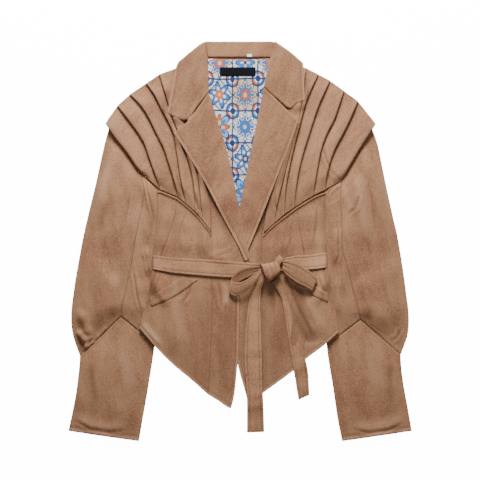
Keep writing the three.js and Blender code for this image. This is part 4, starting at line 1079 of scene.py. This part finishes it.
cuffRight = line(
    [281.5, -199, 211.5, -137, 152, -182], [283, -222, 216, -175, 155, -207],
    [287, -252, 224, -224, 164, -262], [294, -290, 231, -275, 171, -310],
    [301.5, -332, 240, -341, 179, -350])
tubeLook = {
    "gap": 0.9, "sleevePuff": 5.2, "cuffPuff": 3.4, "rows": 165, "cuffRows": 60, "flatPoints": 42,
    "turnPoints": 12, "lowPoints": 14, "arch": 0.35, "flatStart": 0.09,
    "near": [0, 0.4, 0.9, 1.6, 2.6, 3.6, 5], "nearShare": 90, "hidden": 99.0,
    "seamStitch": 3.2, "chevronStitch": 4.6, "hemStitch": 9.0, "hemShrink": 0.72,
}


def tubeHalf(seamLine, fold, puff, foldRows):
    # flattened half tube: top ply from seam to fold, a half circle round the fold, then the ply beneath; the
    # distance from the seam is given back for the seam's form, with a large number where the cloth is below
    look = tubeLook
    radius = (cloth + look["gap"]) / 2
    step = fold - seamLine
    long = np.linalg.norm(step, axis=1)
    way = step / long[:, None]
    reach = long - radius - cloth / 2
    u = np.concatenate([np.array(look["near"]) / look["nearShare"],
                        np.linspace(look["flatStart"], 1, look["flatPoints"])])
    w = np.linspace(0, 1, look["turnPoints"] + 2)[1:-1] * np.pi
    lowU = np.linspace(1, 0, look["lowPoints"])
    out = np.concatenate([reach[:, None] * u[None], reach[:, None] + radius * np.sin(w)[None],
                          reach[:, None] * lowU[None]], axis=1)
    xy = seamLine[:, None] + way[:, None] * out[..., None]
    puff = puff[:, None]
    bulge = puff * (1 - ease(0.3, 1, u))[None] + look["arch"] * puff * np.sin(np.pi * u)[None]
    turnZ = cloth / 2 + radius + radius * np.cos(w)[None] + 0 * reach[:, None]
    lowZ = np.full((len(reach), len(lowU)), cloth / 2)
    z = np.concatenate([cloth / 2 + 2 * radius + bulge, turnZ, lowZ], axis=1)
    upper = np.concatenate([np.ones_like(u) * ease(1.03, 0.86, u), 0 * w, 0 * lowU])[None]
    soft, sharp = foldRows
    # the creases' relief, with their painted shade in dips and painted highlight on ridges, kept to the top
    # ply
    relief, dark = creaseParts(sharp, xy[..., 0], xy[..., 1])
    z = z + upper * (foldRise * folds(soft, xy[..., 0], xy[..., 1]) + relief) * np.minimum(1, puff / 2)
    beyond = np.full((len(reach), len(w) + len(lowU)), look["hidden"])
    return np.dstack([xy, z]), np.concatenate([u[None] * reach[:, None], beyond], axis=1), dark * upper


def sleevePiece(name, table, fold, foldRows, node):
    # half a sleeve between its front seam and one fold, with seams at its front edge and at the cuff
    look = tubeLook
    v = np.concatenate([[0, 0.0008, 0.002, 0.004], np.linspace(0.008, 0.988, look["rows"]),
                        [0.992, 0.996, 0.998, 1]])
    rows = along(table, v)
    puff = look["sleevePuff"] * ease(-0.02, 0.16, v) * ease(1.05, 0.8, v)
    mid, gap, dark = tubeHalf(rows[:, [2, 3]], rows[:, fold], puff, foldRows)
    move, marks = edgeForm("seam", gap, cloth)
    mid[..., 2] += move
    endGap = np.linalg.norm(mid[..., :2] - mid[-1:, :, :2], axis=2)
    move, endMarks = edgeForm("seam", endGap, cloth)
    top = gap < look["hidden"] - 9
    mid[..., 2] += move * top
    stitchAlong(mid[:, top[0]] + [0, 0, cloth / 2], "left", look["seamStitch"])
    made = wallFrom(name, mid, cloth, strongest(strongest(marks, endMarks * top), dark))
    dress(made, suedeSleeve, node, "suede", cutOf(mid))


def cuffPiece(name, table, foldRows, node):
    # a whole cuff: an outer and an inner half tube joined on top, a seam at the chevron, a hem at the end
    look = tubeLook
    v = np.concatenate([[0, 0.001, 0.003, 0.006, 0.01], np.linspace(0.018, 0.97, look["cuffRows"]),
                        [0.98, 0.987, 0.994, 1]])
    rows = along(table, v)
    puff = look["cuffPuff"] * ease(-0.05, 0.3, v)
    halves = [tubeHalf(rows[:, [2, 3]], rows[:, fold], puff, foldRows) for fold in ([0, 1], [4, 5])]
    mid, gap, dark = (np.concatenate([outer[:, ::-1], inner[:, 1:]], axis=1)
                      for outer, inner in zip(*halves))
    top = gap < look["hidden"] - 9
    chevron = np.linalg.norm(mid[..., :2] - mid[:1, :, :2], axis=2)
    hem = np.linalg.norm(mid[..., :2] - mid[-1:, :, :2], axis=2)
    seamMove, seamMarks = edgeForm("seam", chevron, cloth)
    hemMove, hemMarks = edgeForm("hem", hem * look["hemShrink"], cloth)
    mid[..., 2] += (seamMove + hemMove) * top
    made = wallFrom(name, mid, cloth, strongest(strongest(seamMarks, hemMarks) * top, dark))
    dress(made, suedeSleeve, node, "suede", cutOf(mid))
    onTop = mid[:, top[0]] + [0, 0, cloth / 2]
    stitchAlong(onTop, "top", look["chevronStitch"])
    stitchAlong(onTop, "bottom", look["hemStitch"])


for side, sleeve, cuff, sleeveFolds, cuffFolds in (
        ("Left", sleeveLeft, cuffLeft, (sleeveLeftFolds, sleeveLeftCreases),
         (cuffLeftFolds, cuffLeftCreases)),
        ("Right", sleeveRight, cuffRight, (sleeveRightFolds, sleeveRightCreases),
         (cuffRightFolds, cuffRightCreases))):
    for part, fold in (("Top", [0, 1]), ("Under", [4, 5])):
        node = f"sleeve_{part.lower()}_{side.lower()}"
        sleevePiece("sleeve" + part + side, sleeve, fold, sleeveFolds, node)
    cuffPiece("cuffWrap" + side, cuff, cuffFolds, "cuff_" + side.lower())
print("sleeves ready")

# belt: x, top edge y and bottom edge y of each front run; ribbons as pairs of edge points
beltRun = {
    "left": line([-147, -25, -50], [-113, -29, -56], [-70, -31, -60], [-30, -34, -63], [10, -37, -64],
                 [46, -41, -64]),
    "right": line([147, -20, -47], [120, -24, -50], [100, -25, -50], [85, -28, -50], [64, -34, -53]),
    "side": 147, "stitch": 3.6, "knotGather": 0.6, "knotSides": (42, 66), "waves": 25, "above": 1.1,
    "leftRows": 110, "rightRows": 50, "backRows": 60, "gatherShade": 0.7,
}
# across a belt or ribbon: its close columns by each edge, and its two sewn lines
ribbonLook = {
    "edge": [0, 0.02, 0.05, 0.09, 0.13, 0.17, 0.21], "far": [0.79, 0.83, 0.87, 0.91, 0.95, 0.98, 1],
    "inner": (0.26, 0.74), "lines": (0.17, 0.83), "groove": 0.04, "lineWidth": 0.035, "rim": 0.03,
    "waves": 18,
}
loopLeft = line(
    [36.6, -46.5, 15.6, 38.8, -54.8, 15], [29, -54.8, 17.4, 32.2, -65.7, 15.2],
    [15.8, -64.6, 18.8, 20.2, -81, 14], [4.9, -70.5, 19.2, 7.1, -90.9, 12.8],
    [-4.9, -72.5, 18.2, -6, -95.9, 12], [-12, -70.5, 16.6, -15.5, -93, 11.4],
    [-13.4, -65, 15.6, -18, -85, 11], [-9, -57.5, 14.8, -12, -80, 11.4], [2.7, -49.3, 14.6, 2, -70, 12.2],
    [18, -44.9, 14.6, 18, -62, 12.8], [36, -42.5, 14.6, 36, -55, 13.4])
loopRight = line(
    [76.2, -34, 17.5, 74.8, -50, 16.5], [84, -35, 19.5, 80, -57, 16], [95, -37, 21, 90, -66, 15.5],
    [109, -43, 21.5, 104, -75, 15.5], [124, -54, 20.5, 117, -81, 15], [134.5, -65, 17.5, 126, -87, 13.6],
    [128, -62, 13.6, 119, -85, 11.6], [112, -52, 13.2, 104, -82, 10.8], [96, -46, 13.4, 90, -73, 11.2],
    [84, -42, 13.6, 80, -61, 12.4], [77, -41, 13.8, 75.5, -53, 13.2])
tailLeft = line(
    [37, -50, 14.6, 45, -61, 14.2], [31, -62, 14, 41, -72, 13.6], [25, -78, 10.8, 38, -82, 10.4],
    [21, -92, 8, 37, -92, 7.4], [15, -111, 5.4, 36.5, -111, 5.4], [9, -160, 5.2, 38, -160, 5.2],
    [7.5, -204, 5.2, 39.5, -204, 5.2], [10, -243, 5.2, 39.5, -243, 5.2], [12, -266, 5.2, 40.5, -264, 5.2],
    [12.5, -287, 5, 41.5, -284, 4.6], [12.5, -300, 2.4, 42, -298, 2.2],
    [12.5, -313, 1.2, 42.5, -310, 1.2], [12.5, -335, 1.05, 43, -334, 1.05])
tailRight = line(
    [54, -73, 9.2, 67, -63, 9.2], [60, -78, 8.6, 70, -69, 8.6], [66, -86, 7.4, 74, -78, 7.4],
    [72, -98, 6, 79, -91, 6], [76, -115, 5.2, 86, -111, 5.4], [79.5, -137, 5.2, 97, -141, 5.6],
    [84, -165, 5.2, 108, -172, 6.6], [87.5, -185, 5.2, 112.5, -195, 7], [91, -205, 5.2, 114.5, -205, 6.8],
    [94, -226, 5, 117, -214, 5.9], [97, -242, 2.2, 120, -231, 2.2], [99, -256, 1.2, 121, -247, 1.2],
    [103, -278, 1.05, 122, -269, 1.05])


def beltBed(x, y):
    # middle of the belt over the fronts: their height and folds, with the left front's lift fading out
    return (frontBed(x, y) + overlap(x, y) * ease(90, 40, x) + cloth + beltRun["above"] + layers["belt"] / 2
            + bodyFold(x, y))


def ribbonColumns(count):
    # places across a ribbon from edge to edge
    return np.concatenate([ribbonLook["edge"], np.linspace(*ribbonLook["inner"], count), ribbonLook["far"]])


def sewnLines(u, width):
    # a bell at each of the two sewn lines
    first, second = ribbonLook["lines"]
    return hump(u, width, first) + hump(u, width, second)


def ribbonTone(u, line, rim):
    # dark sewn lines, partly painted shade in their grooves, and painted shade along both edges
    return line * sewnLines(u, ribbonLook["lineWidth"]) + rim * (u < ribbonLook["rim"]) + rim * (
        u > 1 - ribbonLook["rim"])


def beltBand():
    # one strip: left front run, half circle at the side, straight under the back, half circle, right run
    look, under = beltRun, layers["belt"] / 2
    edge = ribbonColumns(9)
    left = along(look["left"], np.linspace(0, 1, look["leftRows"]))[::-1]
    right = along(look["right"], np.linspace(0, 1, look["rightRows"]))

    def toKnot(x):
        # distance from the nearer side of the knot
        first, second = look["knotSides"]
        return np.minimum(np.abs(x - first), np.abs(x - second))

    parts = []
    for run in (left, right):
        y = mix(run[:, 1:2], run[:, 2:3], edge[None])
        x = run[:, :1] + 0 * y
        gather = look["knotGather"] * ease(26, 2, toKnot(x)) * np.cos(edge[None] * look["waves"])
        z = beltBed(x, y) + gather - 0.4 * sewnLines(edge[None], ribbonLook["groove"])
        parts.append(np.dstack([x, y, z]))
    turns = []
    for side, start in ((-1, parts[0][-1]), (1, parts[1][0])):
        high = start[:, 2].mean()
        radius = (high - under) / 2
        a = np.linspace(0.06, 0.94, 13)[:, None] * np.pi
        x = side * look["side"] + side * radius * np.sin(a) + 0 * edge[None]
        z = under + radius + radius * np.cos(a) + (start[None, :, 2] - high) * ease(1, 0, a / np.pi)
        turn = np.dstack([x, start[None, :, 1] + 0 * a, z])
        turns.append(turn if side < 0 else turn[::-1])
    t = np.linspace(0, 1, look["backRows"])[:, None]
    base = np.dstack([mix(-look["side"], look["side"], t) + 0 * edge[None],
                      mix(parts[0][-1][None, :, 1], parts[1][0][None, :, 1], t),
                      np.full((len(t), len(edge)), under)])
    mid = np.concatenate([parts[0], turns[0], base, turns[1], parts[1]])
    near = ease(24, 4, toKnot(mid[..., 0]))
    onTop = mid[..., 2] > 5
    # painted shade in the valleys of the gathers near the knot, where the band lies on top
    gatherShade = look["gatherShade"] * near * np.maximum(0, -np.cos(edge[None] * look["waves"])) * onTop
    shown = np.maximum(ribbonTone(edge, 0.7, 0.5)[None], gatherShade)
    made = wallFrom("beltBandCloth", mid[:, ::-1], layers["belt"], shown[:, ::-1])
    dress(made, suedeBelt, "belt_band", "suede", cutOf(mid),
          restsOn=["frontPanelLeft", "frontPanelRight"])
    for run in parts:
        for side in ("left", "right"):
            stitchAlong(run + [0, 0, layers["belt"] / 2], side, look["stitch"])


def ribbon(piece):
    # strip between two edge lines, its middle raised by crown times one less the square of the place across;
    # taut gathers both ends in waves, with painted shade in their valleys, and inner paints shade on the ply
    # that turns inside a loop
    thick, taut, waves = piece["thick"], piece.get("taut", 0.0), ribbonLook["waves"]
    t = np.linspace(0, 1, piece["rows"])
    both = along(piece["edges"], t)
    u = ribbonColumns(7)
    end = np.minimum(t, 1 - t)
    mid = mix(both[:, None, :3], both[:, None, 3:], u[None, :, None])
    n = normals(mid)
    n = n * np.sign(n[:1, :, 2:3] + 1e-9)[:1]
    wave = piece["crown"] * (1 - (2 * u - 1) ** 2) - 0.35 * sewnLines(u, ribbonLook["groove"])
    pinch = taut * np.cos(u * waves)[None] * ease(0.16, 0.0, end)[:, None]
    mid = mid + n * (wave[None] * ease(0, 0.08, end)[:, None] + pinch)[..., None]
    # painted shade: in the gathers' valleys at both ends, and on the inner ply of a loop
    ends = taut * (0.5 + 0.9 * np.maximum(0, -np.cos(u * waves)))[None] * ease(0.13, 0.0, end)[:, None]
    hidden = np.maximum(piece.get("inner", 0.0) * ease(0.56, 0.66, t)[:, None], ends)
    shown = np.maximum(ribbonTone(u, 0.75, 0.6)[None], hidden)
    made = wallFrom(piece["name"], mid, thick, shown)
    dress(made, suedeBelt, piece["node"], "suede", cutOf(mid),
          restsOn=[piece["restsOn"]])
    upper = normals(mid) * np.sign(normals(mid)[..., 2:3]) * thick / 2
    for side in ("left", "right") if "inset" in piece else ():
        stitchAlong(mid + upper, side, piece["inset"])


bowLoop = {"thick": 1.6, "rows": 110, "crown": 0.6, "inset": 3.4, "held": "folded",
           "restsOn": "beltBandCloth", "taut": 0.5}
beltTail = {"thick": 2.0, "crown": 0.3, "held": "laid", "taut": 0.4}
knotTuck = line([56, -39, 14.8, 66, -46, 14.8], [62, -31, 16, 71.5, -38.5, 15.8],
                [68, -23.5, 15, 77, -31, 14.6])
ribbons = [
    {**bowLoop, "name": "bowLoopLeft", "node": "bow_loop_left", "edges": loopLeft, "inner": 0.9},
    {**bowLoop, "name": "bowLoopRight", "node": "bow_loop_right", "edges": loopRight, "inner": 0.3},
    {**beltTail, "name": "tailLeftCloth", "node": "belt_tail_left", "edges": tailLeft, "rows": 130,
     "inset": 4.5, "restsOn": "frontCentreRight"},
    {**beltTail, "name": "tailRightCloth", "node": "belt_tail_right", "edges": tailRight, "rows": 110,
     "inset": 4.0, "restsOn": "frontPanelRight"},
    {"name": "knotTuckCloth", "node": "belt_knot", "thick": 1.6, "rows": 24, "crown": 0.4, "held": "folded",
     "restsOn": "beltBandCloth", "edges": knotTuck},
]
beltBand()
for strip in ribbons:
    ribbon(strip)

# stations along the knot: x, y, z of its middle, half its width and half its height
knotRings = line([37.5, -47, 16, 6.5, 2.4], [39.5, -49, 17.2, 11, 4.8], [43, -53, 18.4, 14.4, 6.4],
                 [48, -54.5, 19, 15, 7.2], [55, -51, 19, 13, 7], [62, -47.5, 18.2, 11, 5.6],
                 [67, -44.5, 17.2, 9, 3.8], [69.5, -43, 16, 6.5, 2])
knotLook = {"rings": 40, "sides": 56, "gathers": 26, "start": 1.2, "ridge": 0.05, "lean": 0.35,
            "square": 0.8, "padding": 0.7, "endShade": 0.8}


def knot():
    # rounded rings from end to end, with ridges of gathered cloth that run over the knot from top to bottom
    look, sides = knotLook, knotLook["sides"]
    t = np.linspace(0, 1, look["rings"])
    x, y, z, wide, high = along(knotRings, t).T[..., None]
    w = np.linspace(0, 2 * np.pi, sides, endpoint=False)
    c, s = np.cos(w)[None], np.sin(w)[None]
    gather = np.cos(t * look["gathers"] + look["start"])[:, None]
    ridge = 1 + look["ridge"] * gather * np.maximum(0, s + 0.3)
    grid = np.dstack([x - look["lean"] * c * wide, y + wide * np.sign(c) * np.abs(c) ** look["square"],
                      z + high * ridge * np.sign(s) * np.abs(s) ** look["square"]])
    points = np.concatenate([grid.reshape(-1, 3), grid[[0, -1]].mean(axis=1)])
    o = np.arange(len(t) * sides).reshape(len(t), sides)
    following = np.roll(o, -1, axis=1)
    body = np.stack([o[:-1].ravel(), following[:-1].ravel(), following[1:].ravel(), o[1:].ravel()], axis=1)
    first, last = len(points) - 2, len(points) - 1
    caps = [(first, b, a) for a, b in zip(o[0].tolist(), following[0].tolist())]
    caps += [(last, a, b) for a, b in zip(o[-1].tolist(), following[-1].tolist())]
    mesh = bpy.data.meshes.new("knotBody")
    mesh.from_pydata((points * mm).tolist(), [], [tuple(face) for face in body.tolist()] + caps)
    mesh.validate()
    mesh.polygons.foreach_set("use_smooth", np.ones(len(mesh.polygons), dtype=bool))
    # painted shade low on the sides, at both ends and in the valleys of the gathers, less of it on top
    dark = 0.85 * ease(0.45, -0.05, s) + 0.7 * ease(0.10, 0, np.minimum(t, 1 - t))[:, None]
    dark = dark - 0.45 * np.maximum(0, s) ** 3
    dark = np.maximum(dark, 0.55 * np.maximum(0, -gather) ** 3 * np.ones_like(s))
    marked(mesh, np.concatenate([np.minimum(dark, 1).ravel(), [look["endShade"]] * 2]))
    piece = placed("knotBody", mesh)
    mesh.materials.append(suedeBelt)
    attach(piece, "root")
    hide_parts("belt_knot")


knot()
print("belt ready")

stitchLook = {"pitch": 3.1, "length": 2.3, "width": 0.55, "height": 0.28, "dip": 0.05, "root": 0.2,
              "ahead": 0.5}
threadMaterial = wovenMaterial("tanThread", (0.30, 0.165, 0.10, 1), 1600.0)


def stitching():
    # every run is walked at even spacing and a small stitch of eight faces lies along each step
    look, up = stitchLook, np.array([0, 0, 1.0])
    half, wide = look["length"] / 2, look["width"] / 2
    bodies = []
    for run in jacketStitches:
        if len(run) < 3:
            continue
        reach = np.concatenate([[0], np.cumsum(np.linalg.norm(np.diff(run, axis=0), axis=1))])
        count = int(reach[-1] / look["pitch"])
        if count < 2:
            continue
        place = (np.arange(count) + 0.5) * look["pitch"]
        spot, ahead = (np.stack([np.interp(at, reach, run[:, k]) for k in range(3)], axis=1)
                       for at in (place, place + look["ahead"]))
        way = ahead - spot
        way = way / np.maximum(np.linalg.norm(way, axis=1, keepdims=True), 1e-9)
        side = np.cross(up, way)
        dip = up * look["dip"]
        corners = [spot - way * half - dip, spot + side * wide, spot + way * half - dip, spot - side * wide,
                   spot + up * look["height"], spot - up * look["root"]]
        bodies.append(np.stack(corners, axis=1))
    points = np.concatenate(bodies)
    count = len(points)
    tri = np.array([[0, 3, 4], [3, 2, 4], [2, 1, 4], [1, 0, 4], [3, 0, 5], [2, 3, 5], [1, 2, 5], [0, 1, 5]])
    faces = (tri[None] + 6 * np.arange(count)[:, None, None]).reshape(-1, 3)
    mesh = bpy.data.meshes.new("topStitching")
    mesh.from_pydata((points.reshape(-1, 3) * mm).tolist(), [], faces.tolist())
    mesh.validate()
    piece = placed("topStitching", mesh)
    mesh.materials.append(threadMaterial)
    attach(piece, "root")
    print("stitches:", count)


stitching()

viewLook = {"floorGlow": 14.0, "distance": 6.0, "across": 0.84, "centreX": 0.0005, "centreY": 0.0021}
lamps = [
    {"name": "keyLamp", "place": (-0.05, 1.60, 0.86), "turn": (-1.06, -0.03, 0), "power": 80, "size": 0.6},
    {"name": "fillLamp", "place": (1.2, -1.2, 2.4), "turn": (0.45, 0.42, 0), "power": 16, "size": 2.0},
]
floorLook = {"half": 3.0, "below": 0.0002, "colour": (0.93, 0.93, 0.93, 1)}
skyLook = {"colour": (1, 1, 1, 1), "strength": 0.15}


def studio():
    # pale floor that the camera sees white, a broad lamp beyond the collar, a weak one opposite, a pale sky
    half = floorLook["half"]
    mesh = bpy.data.meshes.new("floorPlane")
    corners = [(-half, -half, 0), (half, -half, 0), (half, half, 0), (-half, half, 0)]
    mesh.from_pydata(corners, [], [(0, 1, 2, 3)])
    floor = placed("floorPlane", mesh)
    pale, tree, shader, (make, math, _) = newMaterial("paleFloor", 0.9, 0.1)
    shader.inputs["Base Color"].default_value = floorLook["colour"]
    seen = make("ShaderNodeLightPath").outputs["Is Camera Ray"]
    tree.links.new(math("MULTIPLY", seen, viewLook["floorGlow"]), shader.inputs["Emission Strength"])
    shader.inputs["Emission Color"].default_value = (1, 1, 1, 1)
    mesh.materials.append(pale)
    floor.location.z = -floorLook["below"]
    for look in lamps:
        lamp = bpy.data.lights.new(look["name"], "AREA")
        lamp.energy, lamp.size = look["power"], look["size"]
        holder = placed(look["name"], lamp)
        holder.location, holder.rotation_euler = look["place"], look["turn"]
    world = bpy.data.worlds.new("paleSky")
    world.use_nodes = True
    background = world.node_tree.nodes["Background"]
    background.inputs["Color"].default_value = skyLook["colour"]
    background.inputs["Strength"].default_value = skyLook["strength"]
    bpy.context.scene.world = world
    lens = bpy.data.cameras.new("photoCamera")
    lens.sensor_width, lens.clip_end = 36, 50
    lens.lens = lens.sensor_width * viewLook["distance"] / viewLook["across"]
    camera = placed("photoCamera", lens)
    camera.location = (viewLook["centreX"], viewLook["centreY"], viewLook["distance"])
    bpy.context.scene.camera = camera


studio()
print("studio ready")
